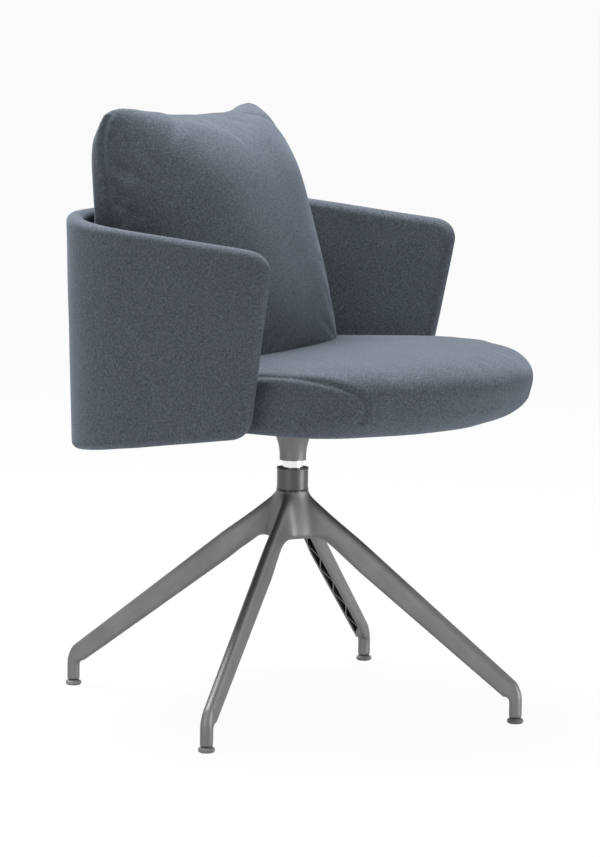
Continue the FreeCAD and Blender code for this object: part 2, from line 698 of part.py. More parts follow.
def bracket_screw_pair(side, place):
    """One screw up into the seat board and one out into the tub."""
    foot_middle = inner_face(SEAT_UNDERSIDE) - BRACKET_FOOT + SCREW_HEAD_DIAMETER
    up_screw = screw(Vector(side * foot_middle, place, SEAT_UNDERSIDE - BRACKET_THICKNESS), UP, SCREW_GRIP)
    height = SEAT_UNDERSIDE + BRACKET_RISE - SCREW_HEAD_DIAMETER
    lean = math.radians(TUB_FLARE)
    outward = Vector(side * math.cos(lean), 0, -math.sin(lean))
    leaf = (inner_face(height) - SEATING_CLEARANCE - BRACKET_THICKNESS) * side
    return [up_screw, screw(Vector(leaf, place, height), outward, TUB_SCREW_GRIP)]


def upright_sides():
    """Middle of each back upright along X, by the sitter's hand."""
    return {"right": -UPRIGHT_SPACING / 2, "left": UPRIGHT_SPACING / 2}


def back_upright(middle):
    """Flat steel angle from under the seat board up the inner face of the tub's back."""
    back = TUB_INNER_BACK - SEATING_CLEARANCE
    under = SEAT_UNDERSIDE - UPRIGHT_THICKNESS
    outline = [
        (back - UPRIGHT_FOOT, under),
        (back, under),
        (back, UPRIGHT_TOP),
        (back - UPRIGHT_THICKNESS, UPRIGHT_TOP),
        (back - UPRIGHT_THICKNESS, SEAT_UNDERSIDE),
        (back - UPRIGHT_FOOT, SEAT_UNDERSIDE),
    ]
    points = [Vector(middle - UPRIGHT_WIDTH / 2, y, z) for y, z in outline]
    return prism(points, [0] * len(points), Vector(UPRIGHT_WIDTH, 0, 0))


def upright_screw_pair(middle):
    """One screw up into the seat board and one back into the tub."""
    back = TUB_INNER_BACK - SEATING_CLEARANCE
    foot = Vector(middle, back - UPRIGHT_FOOT + UPRIGHT_SCREW_INSET, SEAT_UNDERSIDE - UPRIGHT_THICKNESS)
    leaf = Vector(middle, back - UPRIGHT_THICKNESS, TUB_SCREW_HEIGHT)
    return [screw(foot, UP, SCREW_GRIP), screw(leaf, Vector(0, 1, 0), TUB_SCREW_GRIP)]


def back_board_front():
    """Front face of the back board along Y."""
    return TUB_INNER_BACK - PILLOW_BACK_GAP - BACK_BOARD_SKIN - BACK_BOARD_THICKNESS


def back_board():
    """Plywood stiffener inside the back cushion."""
    half = BACK_BOARD_WIDTH / 2
    low = BACK_BOARD_BOTTOM
    high = BACK_BOARD_TOP
    corners = [(-half, low), (half, low), (half, high), (-half, high)]
    points = [Vector(x, back_board_front(), z) for x, z in corners]
    return prism(points, [BACK_BOARD_CORNER] * len(points), Vector(0, BACK_BOARD_THICKNESS, 0))


def board_screw_spots():
    """Places where the uprights carry the back board."""
    heights = (BACK_BOARD_BOTTOM + BOARD_SCREW_INSET, UPRIGHT_TOP - BOARD_SCREW_INSET)
    return [(middle, height) for middle in upright_sides().values() for height in heights]


def board_screws():
    """Headless screws through the uprights into the back board, as separate solids."""
    start = back_board_front() + BACK_BOARD_THICKNESS / 2
    length = TUB_INNER_BACK - SEATING_CLEARANCE - start
    forward = Vector(0, 1, 0)
    spots = board_screw_spots()
    return [Part.makeCylinder(SCREW_DIAMETER / 2, length, Vector(x, start, z), forward) for x, z in spots]


def pillow_section(station):
    """Side view of the back cushion at one place across its width."""
    spread = abs(station) ** PILLOW_FULLNESS
    inset = PILLOW_END_INSET if abs(station) == 1 else 0
    back = TUB_INNER_BACK - PILLOW_BACK_GAP - PILLOW_EDGE_SETBACK * spread - inset / 2
    foot = PILLOW_FRONT_FOOT + (PILLOW_EDGE_FOOT - PILLOW_FRONT_FOOT) * spread + inset
    head = PILLOW_FRONT_HEAD + (PILLOW_EDGE_HEAD - PILLOW_FRONT_HEAD) * spread + inset / 2
    top = PILLOW_TOP + PILLOW_EAR_RISE * spread - inset
    bottom = SEAT_UNDERSIDE + SEAT_SEAM_HEIGHT - PILLOW_SINK
    shoulder = PILLOW_ROUND * (back - head)
    x = station * PILLOW_HALF_WIDTH
    back_top = Vector(x, back, top - shoulder)
    crest = Vector(x, (back + head) / 2, top)
    front_top = Vector(x, head, top - shoulder - (PILLOW_TOP - PILLOW_HEAD_HEIGHT) * (1 - spread) / 2)
    front_foot = Vector(x, foot, bottom)
    back_foot = Vector(x, back, bottom)
    outward = (front_top - front_foot).cross(Vector(1, 0, 0)).normalize()
    belly = (front_top + front_foot) * 0.5 - outward * PILLOW_FRONT_BULGE * (1 - spread / 2)
    edges = [
        Part.LineSegment(back_foot, back_top).toShape(),
        Part.Arc(back_top, crest, front_top).toShape(),
        Part.Arc(front_top, belly, front_foot).toShape(),
        Part.LineSegment(front_foot, back_foot).toShape(),
    ]
    return Part.Wire(edges)


def back_cushion(seat, inner_pieces):
    """Wedge-shaped back cushion with a full front and raised top corners, resting on the seat."""
    form = Part.makeLoft([pillow_section(station) for station in PILLOW_STATIONS], True, False)
    bed = seat.copy()
    bed.translate(UP * SOFT_GAP)
    return without(form, [bed] + inner_pieces)


def save(name, shape):
    """Write one node."""
    shape.exportStep(os.path.join("parts", name + ".step"))


def main():
    """Build every node and write it."""
    os.makedirs("parts", exist_ok=True)

    # Base and column
    save("pyramid_base", pyramid_base())
    for index in range(LEG_COUNT):
        save("glide_%d" % (index + 1), glide(index))
    save("column_tube", ring(BORE_RADIUS, TUBE_INNER_RADIUS, TUBE_BOTTOM, COLLAR_TOP))
    save("bearing_seat", ring(TUBE_INNER_RADIUS, STUB_HOLE_RADIUS, TUBE_BOTTOM, LOWER_RACE_BOTTOM))
    lower_race_top = LOWER_RACE_BOTTOM + RACE_THICKNESS
    save("lower_race", ring(RACE_OUTER_RADIUS, STUB_HOLE_RADIUS, LOWER_RACE_BOTTOM, lower_race_top))
    bush_bottom = ROD_BOTTOM + BUSH_STAND_OFF
    bush_inner = ROD_DIAMETER / 2 + RUNNING_CLEARANCE
    save("lower_bush", ring(TUBE_INNER_RADIUS, bush_inner, bush_bottom, bush_bottom + LOWER_BUSH_LENGTH))
    save("upper_bush", upper_bush())
    save("collar_sleeve", ring(COLLAR_DIAMETER / 2, BORE_RADIUS, COLLAR_BOTTOM, COLLAR_TOP))
    save("collar_gasket", ring(COLLAR_DIAMETER / 2 + TRIM_STEP, BORE_RADIUS, HUB_TOP, COLLAR_BOTTOM))

    # Thrust bearing
    save("ball_cage", ball_cage())
    save("bearing_balls", bearing_balls())

    # Spindle and seat mount
    stub_fit = STUB_DIAMETER / 2 + SEATING_CLEARANCE
    save("swivel_rod", swivel_rod())
    save("upper_race", ring(RACE_OUTER_RADIUS, stub_fit, UPPER_RACE_BOTTOM, ROD_BOTTOM))
    save("thrust_washer", ring(WASHER_DIAMETER / 2, stub_fit, CLIP_TOP, WASHER_TOP))
    save("retaining_clip", retaining_clip())
    save("seat_mount", seat_mount())
    save("mount_bolts", mount_bolts())

    # Brackets, uprights and their screws
    bracket_screws = []
    for index, (side, place) in enumerate(bracket_spots()):
        pair = bracket_screw_pair(side, place)
        bracket_screws += pair
        save("side_bracket_%d" % (index + 1), without(side_bracket(side, place), pair))
    upright_screws = []
    stiffener_screws = board_screws()
    for name, middle in upright_sides().items():
        pair = upright_screw_pair(middle)
        upright_screws += pair
        save("back_upright_" + name, without(back_upright(middle), pair + stiffener_screws))
    save("bracket_screws", Part.makeCompound(bracket_screws))
    save("upright_screws", Part.makeCompound(upright_screws))
    all_screws = bracket_screws + upright_screws

    # Seat
    blank = board_blank()
    board = without(blank, all_screws)
    nuts = []
    for spot in bolt_spots():
        board = board.cut(tee_nut_at(spot, 0))
        nuts.append(tee_nut_at(spot, BOLT_DIAMETER / 2))
    save("seat_board", board)
    save("tee_nuts", Part.makeCompound(nuts))
    seat = seat_form()
    save("seat_cushion", seat.cut(blank))

    # Tub
    core = tub_core()
    save("tub_cover", without(tub_cover_form(), [core] + all_screws))
    save("tub_core", without(core, all_screws))

    # Back cushion
    stiffener = back_board()
    save("back_board", without(stiffener, stiffener_screws))
    save("board_screws", Part.makeCompound(stiffener_screws))
    save("back_cushion", back_cushion(seat, [stiffener] + stiffener_screws))


main()
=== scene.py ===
import logging
import math
from collections.abc import Callable
from dataclasses import dataclass, replace
from enum import Enum

import bmesh
import bpy
from mathutils import Matrix, Vector, kdtree, noise


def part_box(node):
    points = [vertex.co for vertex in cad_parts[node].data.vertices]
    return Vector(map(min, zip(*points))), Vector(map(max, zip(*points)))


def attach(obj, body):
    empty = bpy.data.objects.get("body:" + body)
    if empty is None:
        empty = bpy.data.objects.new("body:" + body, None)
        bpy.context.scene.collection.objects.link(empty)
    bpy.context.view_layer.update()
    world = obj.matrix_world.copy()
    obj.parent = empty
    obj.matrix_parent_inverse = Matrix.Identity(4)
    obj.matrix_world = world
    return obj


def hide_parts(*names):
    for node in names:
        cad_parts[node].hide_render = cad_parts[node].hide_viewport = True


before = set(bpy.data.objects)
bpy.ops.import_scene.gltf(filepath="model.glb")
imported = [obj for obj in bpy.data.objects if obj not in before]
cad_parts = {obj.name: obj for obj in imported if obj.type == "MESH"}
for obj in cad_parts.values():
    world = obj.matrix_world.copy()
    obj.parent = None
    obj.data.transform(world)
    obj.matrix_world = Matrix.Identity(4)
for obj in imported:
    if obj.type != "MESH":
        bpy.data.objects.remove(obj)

LOG = logging.getLogger("armchair")
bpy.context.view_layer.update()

Flat = tuple[float, float]
Point = tuple[float, float, float]
Ring = list[Point]
Colour = tuple[float, float, float, float]
Piece = bpy.types.Object
Material = bpy.types.Material
Socket = bpy.types.NodeSocket

WHITE: Colour = (1.0, 1.0, 1.0, 1.0)
# Angle in degrees above which an edge of metal or plastic stays sharp.
SHARP_ANGLE = 40.0
# Bands per metre of a wave texture at a scale of 1.
WAVE_BANDS = 3.2


class Body(str, Enum):
    """Moving groups of the chair."""

    BASE = "base"
    SEAT = "seat"


class Slot(str, Enum):
    """Material slots of the record."""

    FELT = "felt_fabric"
    COATED = "coated_metal"
    CHROME = "chrome"
    GLIDE = "glide_plastic"
    PLASTIC = "dark_plastic"
    STEEL = "steel"
    PLYWOOD = "plywood"


def screen_colour(red: int, green: int, blue: int) -> Colour:
    """Turns an eight-bit screen colour into the linear colour that a shader takes.

    Args:
        red: Red from 0 to 255.
        green: Green from 0 to 255.
        blue: Blue from 0 to 255.

    Returns:
        The linear colour with full alpha.
    """
    return tuple(((c / 255 + 0.055) / 1.055) ** 2.4 for c in (red, green, blue)) + (1.0,)


def part_way(first: float, last: float, share: float) -> float:
    """Value at a share of the way from one value to another."""
    return first + (last - first) * share


def limited(share: float) -> float:
    """Keeps a share between 0 and 1."""
    return min(1.0, max(0.0, share))


class NodeSheet:
    """A material's node tree, with short calls to add and join its nodes."""

    noise_roughness: float = 0.6
    # Places of the mix node's colour sockets.
    mix_first: int = 6
    mix_second: int = 7
    mix_result: int = 2

    def __init__(self, name: str) -> None:
        """Makes an empty material with a principled shader.

        Args:
            name: Name of the material.
        """
        self.material = bpy.data.materials.new(name)
        self.material.use_nodes = True
        self.tree = self.material.node_tree
        self.shader = self.tree.nodes["Principled BSDF"]
        self.place = self.add("ShaderNodeTexCoord").outputs["Object"]

    def add(self, kind: str, **values: object) -> bpy.types.Node:
        """Adds a node and sets its named input sockets.

        Args:
            kind: Blender's type name of the node.
            values: Socket values, with underscores for spaces.

        Returns:
            The new node.
        """
        node = self.tree.nodes.new(kind)
        for key, value in values.items():
            node.inputs[key.replace("_", " ")].default_value = value
        return node

    def join(self, out: Socket, into: Socket) -> None:
        """Links an output to an input."""
        self.tree.links.new(out, into)

    def grain(self, scale: float, detail: float, stretch: Point = (1, 1, 1)) -> Socket:
        """Noise in the object's own space.

        Args:
            scale: Waves per metre.
            detail: Octaves of finer noise.
            stretch: Scale of the space along each axis.

        Returns:
            The noise value's socket.
        """
        mapping = self.add("ShaderNodeMapping", Scale=stretch)
        self.join(self.place, mapping.inputs["Vector"])
        texture = self.add("ShaderNodeTexNoise", Scale=scale, Detail=detail, Roughness=self.noise_roughness)
        self.join(mapping.outputs["Vector"], texture.inputs["Vector"])
        return texture.outputs["Fac"]

    def ramp(self, value: Socket, stops: list[tuple[float, Colour]]) -> Socket:
        """Colours a value.

        Args:
            value: Socket with the value.
            stops: Positions and colours, in order.

        Returns:
            The colour's socket.
        """
        ramp = self.add("ShaderNodeValToRGB")
        elements = ramp.color_ramp.elements
        for _ in stops[2:]:
            elements.new(0.5)
        for element, (position, colour) in zip(elements, stops):
            element.position, element.color = position, colour
        self.join(value, ramp.inputs["Fac"])
        return ramp.outputs["Color"]

    def multiply(self, first: Socket, second: Socket, share: float) -> Socket:
        """Darkens one colour by another.

        Args:
            first: Colour that is darkened.
            second: Colour that darkens it.
            share: How much of the second colour counts.

        Returns:
            The mixed colour's socket.
        """
        mix = self.add("ShaderNodeMix")
        mix.data_type, mix.blend_type = "RGBA", "MULTIPLY"
        mix.inputs["Factor"].default_value = share
        self.join(first, mix.inputs[self.mix_first])
        self.join(second, mix.inputs[self.mix_second])
        return mix.outputs[self.mix_result]

    def between(self, value: Socket, low: float, high: float) -> Socket:
        """Maps a value from 0 to 1 onto a narrower range.

        Args:
            value: Socket with the value.
            low: Result at 0.
            high: Result at 1.

        Returns:
            The result's socket.
        """
        span = self.add("ShaderNodeMapRange", To_Min=low, To_Max=high)
        self.join(value, span.inputs["Value"])
        return span.outputs["Result"]

    def bump(self, height: Socket, strength: float, depth: float, under: Socket | None = None) -> Socket:
        """Bends the normal by a height.

        Args:
            height: Socket with the height.
            strength: Share of the effect.
            depth: Height of a full step in metres.
            under: Normal that the bump adds to.

        Returns:
            The bent normal's socket.
        """
        node = self.add("ShaderNodeBump", Strength=strength, Distance=depth)
        self.join(height, node.inputs["Height"])
        if under is not None:
            self.join(under, node.inputs["Normal"])
        return node.outputs["Normal"]

    def set(self, **values: object) -> None:
        """Sets the shader's own sockets."""
        for key, value in values.items():
            self.shader.inputs[key.replace("_", " ")].default_value = value

    def feed(self, **sockets: Socket) -> None:
        """Links sockets into the shader."""
        for key, socket in sockets.items():
            self.join(socket, self.shader.inputs[key.replace("_", " ")])


@dataclass(frozen=True)
class FeltCloth:
    """Felted wool cloth: mottled slate yarns, short fibres and a soft sheen."""

    dark: Colour = screen_colour(66, 70, 77)
    middle: Colour = screen_colour(82, 87, 95)
    light: Colour = screen_colour(100, 106, 115)
    pale: Colour = screen_colour(190, 206, 224)
    shade: Colour = (0.86, 0.87, 0.88, 1.0)
    mottle_per_metre: float = 380.0
    mottle_relief: float = 0.0009
    fibre_per_metre: float = 900.0
    fibre_stretch: Point = (1.0, 0.45, 1.6)
    fibre_share: float = 0.8
    fibre_relief: float = 0.0004
    cloud_per_metre: float = 9.0
    cloud_share: float = 0.5
    roughness: float = 0.96
    gloss: float = 0.12
    sheen: float = 0.22
    sheen_roughness: float = 0.45

    def material(self) -> Material:
        """Builds the cloth's nodes.

        Returns:
            The cloth's material.
        """
        sheet = NodeSheet("slate_felt")
        mottle = sheet.grain(self.mottle_per_metre, 5.0)
        fibre = sheet.grain(self.fibre_per_metre, 3.0, self.fibre_stretch)
        cloud = sheet.grain(self.cloud_per_metre, 2.0)
        wool = sheet.ramp(mottle, [(0.3, self.dark), (0.5, self.middle), (0.72, self.light)])
        hairs = sheet.ramp(fibre, [(0.35, self.shade), (0.68, WHITE)])
        clouds = sheet.ramp(cloud, [(0.3, self.shade), (0.7, WHITE)])
        wool = sheet.multiply(wool, hairs, self.fibre_share)
        wool = sheet.multiply(wool, clouds, self.cloud_share)
        relief = sheet.bump(mottle, 0.5, self.mottle_relief)
        relief = sheet.bump(fibre, 0.35, self.fibre_relief, relief)
        sheet.feed(Base_Color=wool, Normal=relief)
        sheet.set(Roughness=self.roughness, Specular_IOR_Level=self.gloss, Sheen_Weight=self.sheen,
                  Sheen_Roughness=self.sheen_roughness, Sheen_Tint=self.pale)
        return sheet.material


@dataclass(frozen=True)
class MetalCoat:
    """A metal finish with fine grain: cast and coated, polished, or plain steel."""

    name: str
    dark: Colour
    light: Colour
    rough_low: float
    rough_high: float
    metallic: float
    grain_per_metre: float
    relief: float
    cloud_per_metre: float = 22.0

    def material(self) -> Material:
        """Builds the metal's nodes.

        Returns:
            The metal's material.
        """
        sheet = NodeSheet(self.name)
        grain = sheet.grain(self.grain_per_metre, 4.0)
        cloud = sheet.grain(self.cloud_per_metre, 3.0)
        colour = sheet.ramp(cloud, [(0.3, self.dark), (0.7, self.light)])
        sheet.feed(Base_Color=colour, Roughness=sheet.between(grain, self.rough_low, self.rough_high),
                   Normal=sheet.bump(grain, 0.25, self.relief))
        sheet.set(Metallic=self.metallic)
        return sheet.material


@dataclass(frozen=True)
class MouldedPlastic:
    """Moulded plastic with a fine eroded skin."""

    name: str
    dark: Colour
    light: Colour
    rough_low: float
    rough_high: float
    skin_per_metre: float = 1400.0
    relief: float = 0.0002
    cloud_per_metre: float = 60.0

    def material(self) -> Material:
        """Builds the plastic's nodes.

        Returns:
            The plastic's material.
        """
        sheet = NodeSheet(self.name)
        skin = sheet.grain(self.skin_per_metre, 3.0)
        cloud = sheet.grain(self.cloud_per_metre, 2.0)
        sheet.feed(Base_Color=sheet.ramp(cloud, [(0.35, self.dark), (0.65, self.light)]),
                   Roughness=sheet.between(skin, self.rough_low, self.rough_high),
                   Normal=sheet.bump(skin, 0.3, self.relief))
        return sheet.material


@dataclass(frozen=True)
class StainedPly:
    """Plywood with a black stain: long grain and faint glue lines on its edges."""

    veneer: Colour = screen_colour(58, 55, 53)
    late_wood: Colour = screen_colour(44, 42, 41)
    glue: Colour = screen_colour(90, 84, 78)
    grain_per_metre: float = 90.0
    grain_stretch: Point = (0.08, 1.0, 1.0)
    relief: float = 0.0003
    plies_per_metre: float = 620.0
    ply_waver: float = 0.4
    glue_share: float = 0.35
    rough_low: float = 0.5
    rough_high: float = 0.7

    def material(self) -> Material:
        """Builds the plywood's nodes.

        Returns:
            The plywood's material.
        """
        sheet = NodeSheet("stained_ply")
        grain = sheet.grain(self.grain_per_metre, 6.0, self.grain_stretch)
        wood = sheet.ramp(grain, [(0.35, self.veneer), (0.62, self.late_wood)])
        wave = sheet.add("ShaderNodeTexWave", Scale=self.plies_per_metre / WAVE_BANDS,
                         Distortion=self.ply_waver)
        wave.bands_direction = "Z"
        sheet.join(sheet.place, wave.inputs["Vector"])
        plies = sheet.ramp(wave.outputs["Fac"], [(0.1, self.glue), (0.3, WHITE)])
        sheet.feed(Base_Color=sheet.multiply(wood, plies, self.glue_share),
                   Roughness=sheet.between(grain, self.rough_low, self.rough_high),
                   Normal=sheet.bump(grain, 0.3, self.relief))
        return sheet.material


class Bench:
    """Shared modelling moves on the active piece."""

    doubles: float = 1e-6
    tiny: float = 1e-9
    relaxing: float = 0.5
    cloth_frames: int = 20
    cloth_quality: int = 5

    @staticmethod
    def clear() -> None:
        """Goes to object mode with nothing selected."""
        if bpy.context.mode != "OBJECT":
            bpy.ops.object.mode_set(mode="OBJECT")
        bpy.ops.object.select_all(action="DESELECT")

    @staticmethod
    def take(piece: Piece) -> None:
        """Makes a piece the only selected and the active one.

        Args:
            piece: The piece.
        """
        Bench.clear()
        piece.select_set(True)
        bpy.context.view_layer.objects.active = piece

    @staticmethod
    def loft(name: str, rings: list[Ring]) -> Piece:
        """Extrudes a filled circle through rings of points.

        Args:
            name: Name of the piece.
            rings: Rings of equal length, in order.

        Returns:
            The closed piece.
        """
        Bench.clear()
        bpy.ops.mesh.primitive_circle_add(vertices=len(rings[0]), radius=1.0, fill_type="NGON")
        piece = bpy.context.object
        piece.name = piece.data.name = name
        bpy.ops.object.mode_set(mode="EDIT")
        for index, ring in enumerate(rings):
            if index:
                bpy.ops.mesh.extrude_region_move()
            sheet = bmesh.from_edit_mesh(piece.data)
            cap = next(face for face in sheet.faces if face.select)
            for vertex, place in zip(cap.verts, ring):
                vertex.co = place
            bmesh.update_edit_mesh(piece.data)
        bpy.ops.mesh.select_all(action="SELECT")
        bpy.ops.mesh.normals_make_consistent(inside=False)
        bpy.ops.object.mode_set(mode="OBJECT")
        return piece

    @staticmethod
    def lathe(name: str, profile: list[Flat], middle: Point, steps: int) -> Piece:
        """Spins a profile around an upright axis.

        Args:
            name: Name of the piece.
            profile: Radius and height of each profile point, from axis to axis.
            middle: A point on the axis, to which the heights add.
            steps: Number of segments around.

        Returns:
            The closed piece.
        """
        Bench.clear()
        bpy.ops.mesh.primitive_circle_add(vertices=3, radius=1.0)
        piece = bpy.context.object
        piece.name = piece.data.name = name
        bpy.ops.object.mode_set(mode="EDIT")
        sheet = bmesh.from_edit_mesh(piece.data)
        bmesh.ops.delete(sheet, geom=sheet.verts[1:], context="VERTS")
        places = [Vector((middle[0] + r, middle[1], middle[2] + z)) for r, z in profile]
        sheet.verts.ensure_lookup_table()
        sheet.verts[0].co = places[0]
        sheet.verts[0].select = True
        bmesh.update_edit_mesh(piece.data)
        for before, after in zip(places, places[1:]):
            bpy.ops.mesh.extrude_region_move(TRANSFORM_OT_translate={"value": after - before})
        bpy.ops.mesh.select_all(action="SELECT")
        bpy.ops.mesh.spin(steps=steps, angle=2 * math.pi, center=middle, axis=(0, 0, 1))
        bpy.ops.mesh.select_all(action="SELECT")
        bpy.ops.mesh.remove_doubles(threshold=Bench.doubles)
        bpy.ops.mesh.normals_make_consistent(inside=False)
        bpy.ops.object.mode_set(mode="OBJECT")
        return piece

    @staticmethod
    def modify(piece: Piece, kind: str, **values: object) -> None:
        """Adds a modifier, sets its values and applies it.

        Args:
            piece: The piece.
            kind: Blender's type name of the modifier.
            values: The modifier's own settings.
        """
        Bench.take(piece)
        change = piece.modifiers.new(kind.lower(), kind)
        for key, value in values.items():
            setattr(change, key, value)
        bpy.ops.object.modifier_apply(modifier=change.name)

    @staticmethod
    def relax(piece: Piece, passes: int, weights: list[float] | None = None) -> None:
        """Smooths a piece, by a weight at each point where weights are given.

        Args:
            piece: The piece.
            passes: Smoothing passes.
            weights: Share of the smoothing that each point takes, or None for all of it.
        """
        if weights is None:
            Bench.modify(piece, "SMOOTH", factor=Bench.relaxing, iterations=passes)
            return
        group = piece.vertex_groups.new(name="relaxed")
        for index, weight in enumerate(weights):
            group.add([index], weight, "REPLACE")
        Bench.modify(piece, "SMOOTH", factor=Bench.relaxing, iterations=passes, vertex_group=group.name)
        piece.vertex_groups.clear()

    @staticmethod
    def remesh(piece: Piece, voxel: float, passes: int) -> None:
        """Rebuilds a piece from even quads of a size in metres, and relaxes them."""
        Bench.modify(piece, "REMESH", mode="VOXEL", voxel_size=voxel)
        Bench.relax(piece, passes)

    @staticmethod
    def refine(piece: Piece, levels: int) -> None:
        """Subdivides a piece smoothly."""
        Bench.modify(piece, "SUBSURF", levels=levels, render_levels=levels)

    @staticmethod
    def cut(piece: Piece, tool: Piece) -> None:
        """Takes a tool's form out of a piece and removes the tool."""
        Bench.modify(piece, "BOOLEAN", operation="DIFFERENCE", object=tool, solver="EXACT")
        bpy.data.objects.remove(tool)

    @staticmethod
    def merge(pieces: list[Piece]) -> Piece:
        """Joins pieces into the first one.

        Args:
            pieces: Pieces to join.

        Returns:
            The first piece, which now holds all meshes.
        """
        Bench.clear()
        for piece in pieces:
            piece.select_set(True)
        bpy.context.view_layer.objects.active = pieces[0]
        bpy.ops.object.join()
        return pieces[0]

    @staticmethod
    def repeat(piece: Piece, count: int) -> list[Piece]:
        """Copies a piece evenly round the upright axis, each copy with its own mesh.

        Args:
            piece: The piece to copy.
            count: How many there are with the first one.

        Returns:
            The piece and its copies.
        """
        pieces = [piece]
        for index in range(1, count):
            Bench.take(piece)
            bpy.ops.object.duplicate()
            copy = bpy.context.object
            copy.data.transform(Matrix.Rotation(2 * math.pi / count * index, 4, "Z"))
            pieces.append(copy)
        return pieces

    @staticmethod
    def soften(piece: Piece, depth: float, size: float) -> None:
        """Gives a padded surface slow, shallow unevenness.

        Args:
            piece: The piece.
            depth: Height of the unevenness in metres.
            size: Size of one swell in metres.
        """
        places = [vertex.co + vertex.normal * depth * noise.noise(vertex.co / size)
                  for vertex in piece.data.vertices]
        Bench.place(piece, places)

    @staticmethod
    def place(piece: Piece, places: list[Vector]) -> None:
        """Moves all points of a piece in one step."""
        piece.data.vertices.foreach_set("co", [number for place in places for number in place])
        piece.data.update()

    @staticmethod
    def inflate(piece: Piece, pressure: float, cap: float, pinned_below: float) -> None:
        """Lets cloth swell under pressure from inside, and keeps the result.

        Args:
            piece: The piece, as even quads.
            pressure: Pressure inside.
            cap: Farthest that a point may move, in metres.
            pinned_below: Height under which points are held, in metres.
        """
        start = [vertex.co.copy() for vertex in piece.data.vertices]
        Bench.take(piece)
        held = piece.vertex_groups.new(name="held")
        held.add([v.index for v in piece.data.vertices if v.co.z < pinned_below], 1.0, "REPLACE")
        cloth = piece.modifiers.new("cloth", "CLOTH")
        cloth.settings.use_pressure = True
        cloth.settings.uniform_pressure_force = pressure
        cloth.settings.vertex_group_mass = held.name
        cloth.settings.effector_weights.gravity = 0
        cloth.settings.quality = Bench.cloth_quality
        cloth.collision_settings.use_collision = False
        scene = bpy.context.scene
        for tick in range(1, Bench.cloth_frames + 1):
            scene.frame_set(tick)
        bpy.ops.object.modifier_apply(modifier=cloth.name)
        scene.frame_set(1)
        places = []
        for vertex, place in zip(piece.data.vertices, start):
            move = vertex.co - place
            far = max(move.length, Bench.tiny)
            places.append(place + move * (cap * math.tanh(far / cap) / far))
        Bench.place(piece, places)
        piece.vertex_groups.clear()

    @staticmethod
    def hand_over(piece: Piece, material: Material, body: Body, slot: Slot, nodes: list[str],
                  sharp_above: float | None = None) -> Piece:
        """Shades, paints and places a finished piece.

        Args:
            piece: The piece.
            material: Its finish.
            body: Moving group that carries it.
            slot: Material slot of the record; not used.
            nodes: CAD nodes that it stands for.
            sharp_above: Angle in degrees above which an edge stays sharp, or None where all is smooth.

        Returns:
            The piece.
        """
        Bench.take(piece)
        if sharp_above is None:
            bpy.ops.object.shade_smooth()
        else:
            bpy.ops.object.shade_smooth_by_angle(angle=math.radians(sharp_above))
        piece.data.materials.clear()
        piece.data.materials.append(material)
        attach(piece, body.value)
        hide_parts(*nodes)
        LOG.info("%s: %d faces", piece.name, len(piece.data.polygons))
        return piece


def rounded_outline(corners: list[Flat], radii: list[float], steps: int) -> list[Flat]:
    """Rounds the corners of a plan with arcs.

    Args:
        corners: Corners in order.
        radii: Radius at each corner.
        steps: Points on each arc, less one.

    Returns:
        The outline's points, the same number for any sizes.
    """
    outline = []
    count = len(corners)
    for index, radius in enumerate(radii):
        here = Vector(corners[index])
        back = (Vector(corners[index - 1]) - here).normalized()
        ahead = (Vector(corners[(index + 1) % count]) - here).normalized()
        half = back.angle(ahead) / 2
        middle = here + (back + ahead).normalized() * (radius / math.sin(half))
        first = here + back * (radius / math.tan(half)) - middle
        last = here + ahead * (radius / math.tan(half)) - middle
        swing = first.angle_signed(last)
        for step in range(steps + 1):
            arm = first.copy()
            arm.rotate(Matrix.Rotation(-swing * step / steps, 2))
            outline.append(tuple(middle + arm))
    return outline


